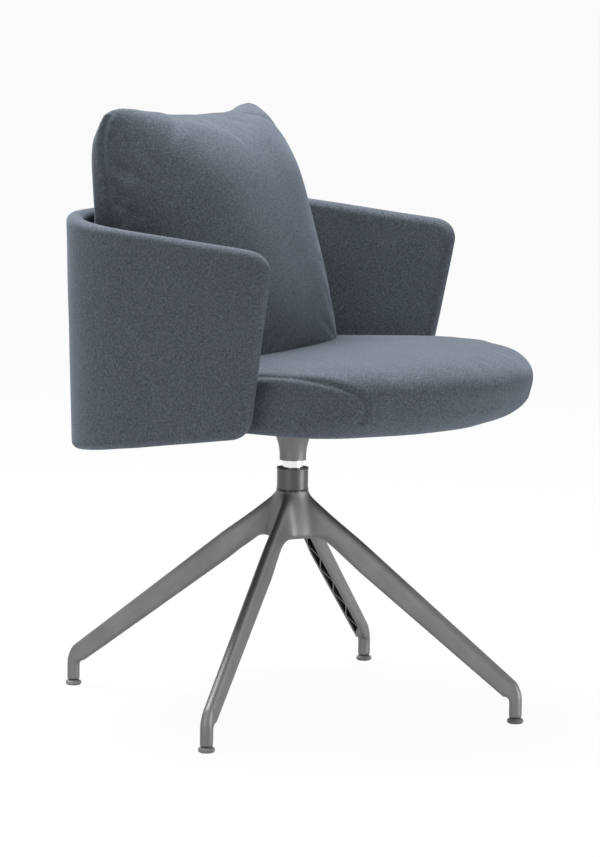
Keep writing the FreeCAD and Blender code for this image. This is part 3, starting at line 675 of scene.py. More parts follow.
@dataclass(frozen=True)
class Seam:
    """A sewn line or a fold, which draws the cloth in along a path.

    Reach, fade, crest and spread count in widths of the line.
    """

    path: tuple[Point, ...]
    depth: float
    width: float
    swell: float
    pucker: float = 0.0
    pitch: float = 0.016
    spacing: float = 0.002
    reach: float = 6.0
    fade: float = 4.0
    fade_start: float = 0.02
    crest: float = 3.0
    spread: float = 1.6
    wander: float = 0.006
    wander_per_metre: float = 60.0

    def line(self, piece: Piece) -> list[Vector]:
        """Closely spaced points of the path, set on the piece's surface.

        Args:
            piece: The piece that is sewn.

        Returns:
            The points in order.
        """
        stops = [Vector(stop) for stop in self.path]
        stops = [stops[0] * 2 - stops[1]] + stops + [stops[-1] * 2 - stops[-2]]
        points = []
        for a, b, c, d in zip(stops, stops[1:], stops[2:], stops[3:]):
            steps = max(2, round((c - b).length / self.spacing))
            for step in range(steps):
                s = step / steps
                spot = (b * 2 + (c - a) * s + (a * 2 - b * 5 + c * 4 - d) * s * s
                        + (b * 3 - a - c * 3 + d) * s ** 3) / 2
                points.append(piece.closest_point_on_mesh(spot)[1])
        return points

    def sew(self, piece: Piece) -> None:
        """Draws the cloth in along the line and lets it swell beside it.

        Args:
            piece: The piece that is sewn.
        """
        line = self.line(piece)
        tree = kdtree.KDTree(len(line))
        for index, spot in enumerate(line):
            tree.insert(spot, index)
        tree.balance()
        places = []
        for vertex in piece.data.vertices:
            _, index, far = tree.find(vertex.co)
            place = vertex.co.copy()
            if far < self.reach * self.width:
                end = min(index, len(line) - 1 - index) * self.spacing
                fade = min(1.0, end / (self.fade * self.width) + self.fade_start)
                run = index * self.spacing + self.wander * noise.noise(vertex.co * self.wander_per_metre)
                wave = 1 + self.pucker * math.sin(2 * math.pi * run / self.pitch)
                dip = self.depth * math.exp(-(far / self.width) ** 2)
                beside = (far - self.crest * self.width) / (self.spread * self.width)
                side = self.swell * math.exp(-beside ** 2)
                place += vertex.normal * fade * (side * wave - dip)
            places.append(place)
        Bench.place(piece, places)

    def sew_both(self, piece: Piece) -> None:
        """Sews the line, and then the same line on the other side of the chair."""
        self.sew(piece)
        replace(self, path=tuple((-x, y, z) for x, y, z in self.path)).sew(piece)


@dataclass(frozen=True)
class Stuffing:
    """How full and how uneven a cushion is."""

    cap: float
    unevenness: float
    swell_size: float
    pressure: float = 4.0
    held: float = 0.03
    passes: int = 2

    def fill(self, piece: Piece, bottom: float) -> None:
        """Swells a cushion above its held foot, and evens and ruffles its cloth.

        Args:
            piece: The cushion, as even quads.
            bottom: Height of its underside.
        """
        Bench.inflate(piece, self.pressure, self.cap, bottom + self.held)
        Bench.relax(piece, self.passes)
        Bench.refine(piece, 1)
        Bench.soften(piece, self.unevenness, self.swell_size)


@dataclass
class TubShell:
    """Upholstered wrap-round tub: two arms and a back in one padded wall."""

    half_width: float = 0.300
    width_height: float = 0.642
    flare: float = math.radians(4.9)
    back: float = 0.245
    rake: float = math.radians(1.0)
    corner: float = 0.150
    wall: float = 0.022
    edge: float = 0.0098
    rim_front: float = -0.1105
    rim_height: float = 0.6445
    rim_slope: float = math.radians(5.3)
    lean: float = math.radians(9.6)
    top_corner: float = 0.029
    bottom_corner: float = 0.024
    skirt_height: float = 0.4035
    skirt_slope: float = math.radians(8.6)
    end_steps: tuple[float, ...] = (0.0, 0.0005, 0.0018, 0.004, 0.007, 0.0105, 0.015, 0.022)
    arm_steps: tuple[float, ...] = (0.030, 0.040)
    arm_rows: int = 6
    corner_rows: int = 14
    back_rows: int = 4
    middle_rows: int = 14
    unevenness: float = 0.0006
    swell_size: float = 0.06

    def front_at(self, height: float) -> float:
        """Where the leaning front edge of an arm is at a height."""
        return self.rim_front + math.tan(self.lean) * (self.rim_height - height)

    def rim_at(self, depth: float) -> float:
        """Height of the rim at a distance towards the back."""
        return self.rim_height + math.tan(self.rim_slope) * (depth - self.rim_front)

    def skirt_at(self, depth: float) -> float:
        """Height of the lower edge at a distance towards the back."""
        return self.skirt_height - math.tan(self.skirt_slope) * (depth - self.front_at(self.skirt_height))

    def width_at(self, height: float) -> float:
        """Half of the outer width at a height."""
        return self.half_width + math.tan(self.flare) * (height - self.width_height)

    def back_at(self, height: float) -> float:
        """Where the raked outer back is at a height."""
        return self.back + math.tan(self.rake) * (self.width_height - height)

    def arm_middle(self) -> float:
        """Where the front edge of an arm is halfway up."""
        return self.front_at((self.rim_height + self.skirt_height) / 2)

    def arm_length(self) -> float:
        """Length of an arm halfway up, from its front edge to the corner."""
        return self.back - self.corner - self.arm_middle()

    @staticmethod
    def drop(reach: float, radius: float) -> float:
        """How far a rounded corner falls from its straight edge at a distance from the other edge."""
        return radius - math.sqrt(radius ** 2 - (radius - reach) ** 2) if reach < radius else 0.0

    def half_thickness(self, distance: float) -> float:
        """Half of the wall's thickness, which is rounded off at its edge.

        Args:
            distance: Distance from the edge.

        Returns:
            The half thickness.
        """
        if distance >= self.edge:
            return self.wall / 2
        return self.wall / 2 - self.edge + math.sqrt(self.edge ** 2 - (self.edge - distance) ** 2)

    def heights(self, low: float, high: float) -> list[float]:
        """Row heights of one ring, closer together near its ends.

        Args:
            low: Lowest height.
            high: Highest height.

        Returns:
            The heights, upwards.
        """
        first, last = low + self.end_steps[-1], high - self.end_steps[-1]
        rows = [low + step for step in self.end_steps[:-1]]
        rows += [first + (last - first) * k / self.middle_rows for k in range(self.middle_rows + 1)]
        return rows + [high - step for step in self.end_steps[-2::-1]]

    def ring(self, plan: Callable[[float, float], Flat], low: float, high: float,
             edge_distance: Callable[[float], float]) -> Ring:
        """Closed ring of points around the wall at one station.

        Args:
            plan: Gives x and y for a height and an inset from the outer face.
            low: Lowest height of the station.
            high: Highest height of the station.
            edge_distance: Gives the distance to the wall's edge for a height.

        Returns:
            The ring, up the outer face and down the inner one.
        """
        outer, inner = [], []
        for height in self.heights(low, high):
            half = self.half_thickness(max(edge_distance(height), 0.0))
            outer.append((*plan(height, self.wall / 2 - half), height))
            inner.append((*plan(height, self.wall / 2 + half), height))
        return outer + inner[::-1]

    def level_ring(self, plan: Callable[[float, float], Flat]) -> Ring:
        """Ring of a station whose edges are only the rim and the skirt.

        Args:
            plan: Gives x and y for a height and an inset from the outer face.

        Returns:
            The ring.
        """
        depth = plan(self.rim_height, self.wall / 2)[1]
        low, high = self.skirt_at(depth), self.rim_at(depth)
        return self.ring(plan, low, high, lambda z: min(z - low, high - z))

    def reaches(self) -> list[float]:
        """Distances of an arm's stations from its front edge.

        Returns:
            The distances, closer together near the edge.
        """
        last = self.arm_steps[-1]
        span = self.arm_length() - last
        rows = [last + span * k / self.arm_rows for k in range(1, self.arm_rows + 1)]
        return [*self.end_steps, *self.arm_steps, *rows]

    def arm_ring(self, reach: float) -> Ring:
        """Ring of one station on an arm.

        Args:
            reach: Distance of the station from the arm's front edge.

        Returns:
            The ring.
        """
        straight = reach / self.arm_length()

        def depth(height: float) -> float:
            """Distance towards the back, which leans less the farther the station is from the edge."""
            return (1 - straight) * self.front_at(height) + straight * self.arm_middle() + reach

        high = self.rim_at(depth(self.rim_height)) - self.drop(reach, self.top_corner)
        low = self.skirt_at(depth(self.skirt_height)) + self.drop(reach, self.bottom_corner)

        def distance(height: float) -> float:
            """Distance to the nearest edge, round the corners too.

            Args:
                height: Height on the station.

            Returns:
                The distance.
            """
            nearest = reach
            for gap, radius in ((high - height, self.top_corner), (height - low, self.bottom_corner)):
                fall = gap + self.drop(reach, radius)
                if reach < radius and fall < radius:
                    nearest = min(nearest, radius - math.hypot(radius - reach, radius - fall))
                else:
                    nearest = min(nearest, gap)
            return nearest

        return self.ring(lambda z, inset: (self.width_at(z) - inset, depth(z)), low, high, distance)

    def corner_ring(self, turn: float) -> Ring:
        """Ring of one station on a back corner.

        Args:
            turn: Angle round the corner in radians.

        Returns:
            The ring.
        """
        def plan(height: float, inset: float) -> Flat:
            """Point on the corner's arc.

            Args:
                height: Height of the point.
                inset: Inset from the outer face.

            Returns:
                Its x and y.
            """
            radius = self.corner - inset
            return (self.width_at(height) - self.corner + radius * math.cos(turn),
                    self.back_at(height) - self.corner + radius * math.sin(turn))

        return self.level_ring(plan)

    def back_ring(self, share: float) -> Ring:
        """Ring of one station on the back, at a share of the way from its middle to the corner."""
        return self.level_ring(
            lambda z, inset: ((self.width_at(z) - self.corner) * share, self.back_at(z) - inset))

    def build(self, cloth: Material) -> Piece:
        """Makes the tub's padded wall.

        Args:
            cloth: Its cloth.

        Returns:
            The finished piece.
        """
        side = [self.arm_ring(reach) for reach in self.reaches()]
        side += [self.corner_ring(math.radians(90 * k / self.corner_rows))
                 for k in range(1, self.corner_rows + 1)]
        side += [self.back_ring(1 - k / self.back_rows) for k in range(1, self.back_rows + 1)]
        other = [[(-x, y, z) for x, y, z in ring] for ring in side[-2::-1]]
        tub = Bench.loft("tub_upholstery", side + other)
        Bench.refine(tub, 2)
        Bench.soften(tub, self.unevenness, self.swell_size)
        Bench.hand_over(tub, cloth, Body.SEAT, Slot.FELT, ["tub_cover"])
        return tub


@dataclass
class SeatPad:
    """Crowned seat cushion with a rounded nose and a seam along each side."""

    underside: float = 0.4025
    half_width: float = 0.245
    front: float = 0.3285
    front_flat: float = 0.110
    shoulder_start: float = 0.200
    back: float = 0.200
    corner: float = 0.110
    shoulder: float = 0.140
    nose: float = 0.250
    corner_steps: int = 10
    nose_height: float = 0.058
    seam_height: float = 0.0770
    crown: float = 0.009
    crown_reach: float = 0.150
    nose_undercut: float = 0.077
    nose_roll: float = 0.072
    side_undercut: float = 0.007
    side_roll: float = 0.005
    tilt: float = math.radians(3.5)
    board: float = 0.0205
    board_gap: float = 0.0005
    margin: float = 0.012
    under_levels: tuple[float, ...] = (0.0, 0.08, 0.2, 0.36, 0.55, 0.77, 1.0)
    roll_levels: tuple[float, ...] = (0.25, 0.5, 0.7, 0.85, 0.95, 1.0)
    crown_levels: tuple[float, ...] = (0.08, 0.2, 0.35, 0.5, 0.65, 0.8, 1.0)
    voxel: float = 0.0055
    stuffing: Stuffing = Stuffing(cap=0.003, unevenness=0.0007, swell_size=0.07)
    side_seam: Seam = Seam(
        ((-0.243, 0.06, 0.480), (-0.243, -0.02, 0.485), (-0.243, -0.061, 0.487),
         (-0.243, -0.12, 0.485), (-0.243, -0.173, 0.480), (-0.241, -0.202, 0.471),
         (-0.239, -0.220, 0.459), (-0.239, -0.225, 0.443), (-0.241, -0.218, 0.424),
         (-0.241, -0.206, 0.416)),
        depth=0.0028, width=0.0030, swell=0.0008, pucker=0.25)

    def outline(self, rise: float, side: float, nose: float, tilt: float = 0.0) -> Ring:
        """Plan of the cushion at one level.

        Args:
            rise: Height of the level above the underside.
            side: Inset of sides and back.
            nose: Inset of the front.
            tilt: Backward tilt of the level.

        Returns:
            The level's points.
        """
        half, front, back = self.half_width - side, -self.front + nose, self.back - side
        across = half / self.half_width
        along = (back - front) / (self.back + self.front)
        flat = self.front_flat * across
        shoulder = front + (self.front - self.shoulder_start) * along
        left = [(-half, back), (-half, shoulder), (-flat, front)]
        radii = [radius * min(across, along) for radius in (self.corner, self.shoulder, self.nose)]
        plan = rounded_outline(left + [(-x, y) for x, y in left[::-1]], radii + radii[::-1],
                               self.corner_steps)
        height = self.underside + rise
        return [(x, y * math.cos(tilt), height - y * math.sin(tilt)) for x, y in plan]

    def rings(self) -> list[Ring]:
        """Levels from the board's recess under the cushion up to the crown.

        Returns:
            The rings in order.
        """
        inset = (self.side_undercut + self.margin, self.nose_undercut + self.margin)
        rings = [self.outline(self.board + self.board_gap, *inset), self.outline(0.0, *inset)]
        for share in self.under_levels:
            fade = 1 - math.sqrt(1 - (1 - share) ** 2)
            rings.append(self.outline(share * self.nose_height, self.side_undercut * fade,
                                      self.nose_undercut * fade))
        for share in self.roll_levels:
            fade = 1 - math.sqrt(1 - share ** 2)
            rings.append(self.outline(part_way(self.nose_height, self.seam_height, share),
                                      self.side_roll * fade, self.nose_roll * fade, self.tilt * share))
        for share in self.crown_levels:
            spread = self.crown_reach * share
            rings.append(self.outline(self.seam_height + self.crown * (1 - (1 - share) ** 2),
                                      self.side_roll + spread, self.nose_roll + spread, self.tilt))
        return rings

    def build(self, cloth: Material) -> Piece:
        """Makes the seat cushion.

        Args:
            cloth: Its cloth.

        Returns:
            The finished piece.
        """
        pad = Bench.loft("seat_pad", self.rings())
        Bench.remesh(pad, self.voxel, 2)
        self.stuffing.fill(pad, self.underside)
        self.side_seam.sew_both(pad)
        Bench.hand_over(pad, cloth, Body.SEAT, Slot.FELT, ["seat_cushion"])
        return pad


@dataclass
class BackPillow:
    """Loose wedge pillow inside the tub, with raised top corners."""

    half_width: float = 0.207
    back: float = 0.2185
    edge_setback: float = 0.0165
    back_swell: float = 0.002
    swell_from: float = 0.672
    swell_turn: float = 0.8 * math.pi
    lean: float = 0.005
    front_foot: float = -0.024
    front_head: float = 0.047
    edge_foot: float = 0.092
    edge_head: float = 0.156
    head_height: float = 0.745
    top: float = 0.802
    ear_rise: float = 0.015
    end_inset: float = 0.020
    bulge: float = 0.010
    rounding: float = 0.3
    shoulder: float = 0.044
    fullness: float = 4.2
    ear_fullness: float = 2.7
    bottom: float = 0.462
    stations: tuple[float, ...] = (1.0, 0.99, 0.975, 0.955, 0.93, 0.9, 0.86, 0.8, 0.7, 0.55, 0.4, 0.2)
    close_from: float = 0.86
    back_steps: int = 16
    top_steps: int = 12
    front_steps: int = 14
    foot_steps: int = 8
    brow_passes: int = 60
    brow_half: float = 0.19
    brow_low: float = 0.60
    brow_rise: float = 0.08
    brow_back: float = 0.15
    brow_fade: float = 0.05
    voxel: float = 0.0055
    stuffing: Stuffing = Stuffing(cap=0.004, unevenness=0.0014, swell_size=0.08)
    back_seam: Seam = Seam(
        ((-0.204, 0.150, 0.560), (-0.204, 0.160, 0.620), (-0.204, 0.171, 0.687),
         (-0.204, 0.175, 0.713), (-0.204, 0.181, 0.739), (-0.204, 0.183, 0.772),
         (-0.200, 0.178, 0.795), (-0.186, 0.172, 0.808)),
        depth=0.0022, width=0.0026, swell=0.0008, pucker=0.35)
    top_seam: Seam = Seam(
        ((-0.188, 0.174, 0.806), (-0.150, 0.174, 0.804), (-0.080, 0.172, 0.798), (0.0, 0.171, 0.797),
         (0.080, 0.172, 0.798), (0.150, 0.174, 0.804), (0.188, 0.174, 0.806)),
        depth=0.0012, width=0.0026, swell=0.0006, pucker=0.35)
    ear_fold: Seam = Seam(
        ((0.085, 0.140, 0.803), (0.112, 0.122, 0.799), (0.142, 0.108, 0.788), (0.168, 0.098, 0.768)),
        depth=0.0026, width=0.008, swell=0.0012)
    top_fold: Seam = Seam(
        ((0.010, 0.138, 0.800), (0.036, 0.112, 0.798), (0.058, 0.090, 0.790)),
        depth=0.0016, width=0.008, swell=0.0008)
    pleats: tuple[Seam, ...] = tuple(
        Seam(path, depth=0.0011, width=0.006, swell=0.0004)
        for path in (((-0.196, 0.120, 0.672), (-0.204, 0.150, 0.684), (-0.203, 0.182, 0.700)),
                     ((-0.200, 0.130, 0.692), (-0.204, 0.160, 0.706), (-0.203, 0.188, 0.722)),
                     ((-0.192, 0.115, 0.716), (-0.204, 0.148, 0.732), (-0.203, 0.176, 0.748))))

    @staticmethod
    def arc(first: Vector, through: Vector, last: Vector, steps: int) -> list[Vector]:
        """Points on a curve through three points, without the last one.

        Args:
            first: Where the curve begins.
            through: Where it is halfway.
            last: Where it ends.
            steps: How many points it gets.

        Returns:
            The points.
        """
        control = through * 2 - (first + last) / 2
        shares = [step / steps for step in range(steps)]
        return [first * (1 - s) ** 2 + control * 2 * s * (1 - s) + last * s * s for s in shares]

    def section(self, station: float) -> Ring:
        """Side view of the pillow at one place across its width.

        Args:
            station: Place across, from -1 to 1.

        Returns:
            The section's points.
        """
        spread = abs(station) ** self.fullness
        close = max(0.0, (abs(station) - self.close_from) / (1 - self.close_from))
        inset = self.end_inset * (1 - math.sqrt(1 - close ** 2))
        back = self.back - self.edge_setback * spread - inset / 2
        foot = part_way(self.front_foot, self.edge_foot, spread) + inset
        head = part_way(self.front_head, self.edge_head, spread) + inset / 2
        top = self.top + self.ear_rise * abs(station) ** self.ear_fullness - inset - self.lean * station
        shoulder = max(self.rounding * (back - head), self.shoulder)
        x = station * self.half_width
        back_top = Vector((x, back, top - shoulder))
        crest = Vector((x, (back + head) / 2, top))
        front_top = Vector((x, head, top - shoulder - (self.top - self.head_height) * (1 - spread) / 2))
        front_foot = Vector((x, foot, self.bottom))
        back_foot = Vector((x, back, self.bottom))
        belly = (front_top + front_foot) / 2 + Vector((0, -self.bulge * (1 - spread / 2), 0))
        points = [back_foot.lerp(back_top, k / self.back_steps) for k in range(self.back_steps)]
        for point in points:
            share = limited((point.z - self.swell_from) / (back_top.z - self.swell_from))
            point.y += self.back_swell * math.sin(share * self.swell_turn)
        points += self.arc(back_top, crest, front_top, self.top_steps)
        points += self.arc(front_top, belly, front_foot, self.front_steps)
        points += [front_foot.lerp(back_foot, k / self.foot_steps) for k in range(self.foot_steps)]
        return [tuple(point) for point in points]

    def brow_share(self, place: Vector) -> float:
        """How much a point takes part where the front rolls over into the top.

        Args:
            place: The point.

        Returns:
            The share, which is 0 at the ears, at the foot and at the back.
        """
        across = limited((self.brow_half - abs(place.x)) / self.brow_fade)
        up = limited((place.z - self.brow_low) / self.brow_rise)
        ahead = limited((self.brow_back - place.y) / self.brow_fade)
        return across * up * ahead

    def stitch(self, pillow: Piece) -> None:
        """Sews the seam round the back and lays the folds at ears and sides.

        Args:
            pillow: The pillow.
        """
        for line in (*self.pleats, self.back_seam, self.ear_fold, self.top_fold):
            line.sew_both(pillow)
        self.top_seam.sew(pillow)

    def build(self, cloth: Material) -> Piece:
        """Makes the pillow.

        Args:
            cloth: Its cloth.

        Returns:
            The finished piece.
        """
        places = [-s for s in self.stations] + [0.0] + list(self.stations[::-1])
        pillow = Bench.loft("back_pillow", [self.section(place) for place in places])
        Bench.remesh(pillow, self.voxel, 3)
        Bench.relax(pillow, self.brow_passes, [self.brow_share(v.co) for v in pillow.data.vertices])
        self.stuffing.fill(pillow, self.bottom)
        self.stitch(pillow)
        Bench.hand_over(pillow, cloth, Body.SEAT, Slot.FELT, ["back_cushion"])
        return pillow


@dataclass
class PyramidBase:
    """Cast base: four sloping legs that grow out of a hub and bend down into posts."""

    glide_radius: float = 0.320
    turn: float = math.radians(6.9)
    legs: int = 4
    leg_start: float = 0.012
    leg_steps: int = 14
    top_at_hub: float = 0.294
    top_at_foot: float = 0.0557
    depth_at_hub: float = 0.046
    depth_at_foot: float = 0.032
    hub_radius: float = 0.0215
    hub_top: float = 0.297
    hub_bottom: float = 0.232
    hub_points: int = 96
    # Share of the hub's height, radius between the legs and how far the webs reach beyond it.
    hub_levels: tuple[Point, ...] = (
        (0.0, 0.037, 0.040), (0.1, 0.0362, 0.036), (0.25, 0.0345, 0.028), (0.45, 0.0310, 0.018),
        (0.65, 0.0272, 0.009), (0.82, 0.0238, 0.004), (0.92, 0.0222, 0.001), (1.0, 0.0217, 0.0))
    ridge_sharpness: int = 4
    bore_radius: float = 0.01805
    bore_bottom: float = 0.238
    bore_steps: int = 64
    post_radius: float = 0.0087
    post_bottom: float = 0.0075
    bend: float = 0.020
    bend_steps: int = 8
    top_half: float = 0.0072
    bottom_half: float = 0.0090
    top_squareness: float = 2.7
    bottom_squareness: float = 9.0
    section_points: int = 44
    web_inner: float = 0.050
    web_outer: float = 0.105
    web_passes: int = 110
    flat_top: float = 0.003
    flat_fade: float = 0.008
    channel_start: float = 0.036
    channel_short: float = 0.026
    channel_half: float = 0.0052
    channel_draft: float = 0.55
    clearance: float = 0.01
    skin: float = 0.012
    ribs: int = 9
    rib: float = 0.0018
    voxel: float = 0.0018

    def share_out(self, radius: float) -> float:
        """Share of the way from the hub to the foot at a distance from the axis."""
        return (radius - self.hub_radius) / (self.glide_radius - self.hub_radius)

    def top_line(self, radius: float) -> float:
        """Height of a leg's top at a distance from the axis."""
        return part_way(self.top_at_hub, self.top_at_foot, self.share_out(radius))

    def depth(self, radius: float) -> float:
        """Upright depth of a leg at a distance from the axis."""
        return part_way(self.depth_at_hub, self.depth_at_foot, self.share_out(radius))

    def middle(self, radius: float) -> Vector:
        """Middle of a leg at a distance from the axis."""
        return Vector((radius, 0, self.top_line(radius) - self.depth(radius) / 2))

    @staticmethod
    def upward(slope: float) -> Vector:
        """Direction square to a leg, upwards, where it falls at a slope."""
        return Vector((math.sin(slope), 0, math.cos(slope)))

    def section(self, half_depth: float, roundness: float) -> list[Flat]:
        """Section across a leg, from a drafted bar to a round post.

        Args:
            half_depth: Half of its depth.
            roundness: 0 for the bar and 1 for the post.

        Returns:
            Points as sideways and upward distances.
        """
        points = []
        for step in range(self.section_points):
            angle = 2 * math.pi * step / self.section_points - math.pi / 2
            power = 2 / (self.top_squareness if math.sin(angle) > 0 else self.bottom_squareness)
            across = math.copysign(abs(math.cos(angle)) ** power, math.cos(angle))
            upward = math.copysign(abs(math.sin(angle)) ** power, math.sin(angle))
            half = part_way(self.bottom_half, self.top_half, (upward + 1) / 2)
            bar = Vector((half * across, half_depth * upward))
            disc = Vector((math.cos(angle), math.sin(angle))) * self.post_radius
            points.append(tuple(bar.lerp(disc, roundness)))
        return points

    def leg_path(self) -> list[tuple[Vector, float, float, float]]:
        """Stations of one leg along +X, from inside the hub down to the post's foot.

        Returns:
            Middle, slope, half of the depth and roundness of each station.
        """
        knee = self.middle(self.glide_radius)
        along = (knee - self.middle(self.hub_radius)).normalized()
        slope = math.atan2(-along.z, along.x)
        swing = math.pi / 2 - slope
        tangent = self.bend * math.tan(swing / 2)
        end = self.glide_radius - tangent * math.cos(slope)
        path = []
        for step in range(self.leg_steps + 1):
            radius = part_way(self.leg_start, end, step / self.leg_steps)
            path.append((self.middle(radius), slope, self.depth(radius) / 2 * math.cos(slope), 0.0))
        centre = knee - along * tangent - self.upward(slope) * self.bend
        full = self.depth(end) / 2 * math.cos(slope)
        for step in range(1, self.bend_steps + 1):
            share = step / self.bend_steps
            angle = slope + swing * share
            place = centre + self.upward(angle) * self.bend
            path.append((place, angle, part_way(full, self.post_radius, share), share))
        post_top = path[-1][0]
        foot = Vector((self.glide_radius, 0, self.post_bottom))
        for share in (0.5, 1.0):
            path.append((post_top.lerp(foot, share), math.pi / 2, self.post_radius, 1.0))
        return path

    def leg_rings(self) -> list[Ring]:
        """Rings of one leg along its path.

        Returns:
            The rings in order.
        """
        rings = []
        for place, slope, half, roundness in self.leg_path():
            up = self.upward(slope)
            rings.append([tuple(place + Vector((0, sideways, 0)) + up * rise)
                          for sideways, rise in self.section(half, roundness)])
        return rings

    def hub_rings(self) -> list[Ring]:
        """Star-shaped rings of the hub, with webs that run out into the legs.

        Returns:
            The rings, upwards.
        """
        rings = []
        for share, valley, reach in self.hub_levels:
            height = part_way(self.hub_bottom, self.hub_top, share)
            ring = []
            for step in range(self.hub_points):
                angle = 2 * math.pi * step / self.hub_points
                radius = valley + reach * ((1 + math.cos(self.legs * angle)) / 2) ** self.ridge_sharpness
                ring.append((radius * math.cos(angle), radius * math.sin(angle), height))
            rings.append(ring)
        return rings

    def cell_tools(self) -> list[Piece]:
        """Three-sided cells under one leg, which leave crossed ribs between them.

        Returns:
            The tools that cut the cells.
        """
        start, end = self.channel_start, self.glide_radius - self.channel_short
        pitch = (end - start) / self.ribs
        tools = []
        for index in range(self.ribs):
            side = 1 if index % 2 else -1
            plan = [(start + pitch * (index - 0.5) + self.rib, -side * self.channel_half),
                    (start + pitch * (index + 1.5) - self.rib, -side * self.channel_half),
                    (start + pitch * (index + 0.5), side * (self.channel_half - self.rib / 2))]
            plan = [(min(max(x, start), end), y) for x, y in plan]
            low = [(x, y, self.top_line(x) - self.depth(x) - self.clearance) for x, y in plan]
            high = [(x, y * self.channel_draft, self.top_line(x) - self.skin) for x, y in plan]
            tools.append(Bench.loft("cell", [low, high]))
        return tools

    def web_share(self, place: Vector) -> float:
        """How much a point takes part where the legs melt into the hub with soft webs.

        Args:
            place: The point.

        Returns:
            The share, which is 0 out on the legs and on the collar's flat seat.
        """
        far = math.hypot(place.x, place.y)
        share = limited((self.web_outer - far) / (self.web_outer - self.web_inner))
        share *= limited((self.hub_top - self.flat_top - place.z) / self.flat_fade)
        return share * share * (3 - 2 * share)

    def build(self, metal: Material) -> Piece:
        """Makes the base casting.

        Args:
            metal: Its finish.

        Returns:
            The finished piece.
        """
        hub = Bench.loft("cast_base", self.hub_rings())
        leg = Bench.loft("leg", self.leg_rings())
        base = Bench.merge([hub] + Bench.repeat(leg, self.legs))
        Bench.remesh(base, self.voxel, 3)
        Bench.relax(base, self.web_passes, [self.web_share(v.co) for v in base.data.vertices])
        cells = Bench.merge(self.cell_tools())
        Bench.cut(base, Bench.merge(Bench.repeat(cells, self.legs)))
        bore_top = self.hub_top + self.clearance
        bore = [(0, self.bore_bottom), (self.bore_radius, self.bore_bottom), (self.bore_radius, bore_top),
                (0, bore_top)]
        Bench.cut(base, Bench.lathe("bore", bore, (0, 0, 0), self.bore_steps))
        base.data.transform(Matrix.Rotation(self.turn, 4, "Z"))
        return Bench.hand_over(base, metal, Body.BASE, Slot.COATED, ["pyramid_base"], SHARP_ANGLE)


@dataclass
class GlideSet:
    """Round glides under the posts: a soft-edged foot and a neck."""

    count: int = 4
    foot: float = 0.011
    thickness: float = 0.0065
    rim: float = 0.0022
    rim_steps: int = 10
    rim_lift: float = 0.0001
    dish: float = 0.0004
    dish_share: float = 0.6
    neck: float = 0.0078
    neck_height: float = 0.0074
    steps: int = 48

    def profile(self) -> list[Flat]:
        """Half section of a glide, from the axis under its foot to the axis above its neck.

        Returns:
            Radius and height of each point.
        """
        half = self.thickness / 2
        points = [(0.0, self.dish), (self.foot * self.dish_share, 0.0)]
        for step in range(self.rim_steps + 1):
            angle = math.pi * step / self.rim_steps
            points.append((self.foot - self.rim + self.rim * math.sin(angle),
                           half - (half - self.rim_lift) * math.cos(angle)))
        return points + [(self.neck, self.thickness + self.rim_lift), (self.neck, self.neck_height),
                         (0.0, self.neck_height)]

    def build(self, plastic: Material) -> list[Piece]:
        """Makes one glide under each post.

        Args:
            plastic: Their finish.

        Returns:
            The finished pieces.
        """
        glides = []
        for index in range(1, self.count + 1):
            low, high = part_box(f"glide_{index}")
            middle = ((low.x + high.x) / 2, (low.y + high.y) / 2, 0.0)
            glide = Bench.lathe(f"glide_foot_{index}", self.profile(), middle, self.steps)
            glides.append(Bench.hand_over(glide, plastic, Body.BASE, Slot.GLIDE, [f"glide_{index}"],
                                          SHARP_ANGLE))
        return glides


@dataclass(frozen=True)
class SoftLight:
    """A round soft light, with its width in metres and its power in watts."""

    name: str
    place: Point
    aim: Point
    size: float
    power: float

    def hang(self) -> None:
        """Hangs the light at its place and turns it to its aim."""
        Bench.clear()
        bpy.ops.object.light_add(type="AREA", location=self.place)
        lamp = bpy.context.object
        lamp.name = self.name
        lamp.data.shape, lamp.data.size, lamp.data.energy = "DISK", self.size, self.power
        lamp.rotation_euler = (Vector(self.aim) - Vector(self.place)).to_track_quat("-Z", "Y").to_euler()


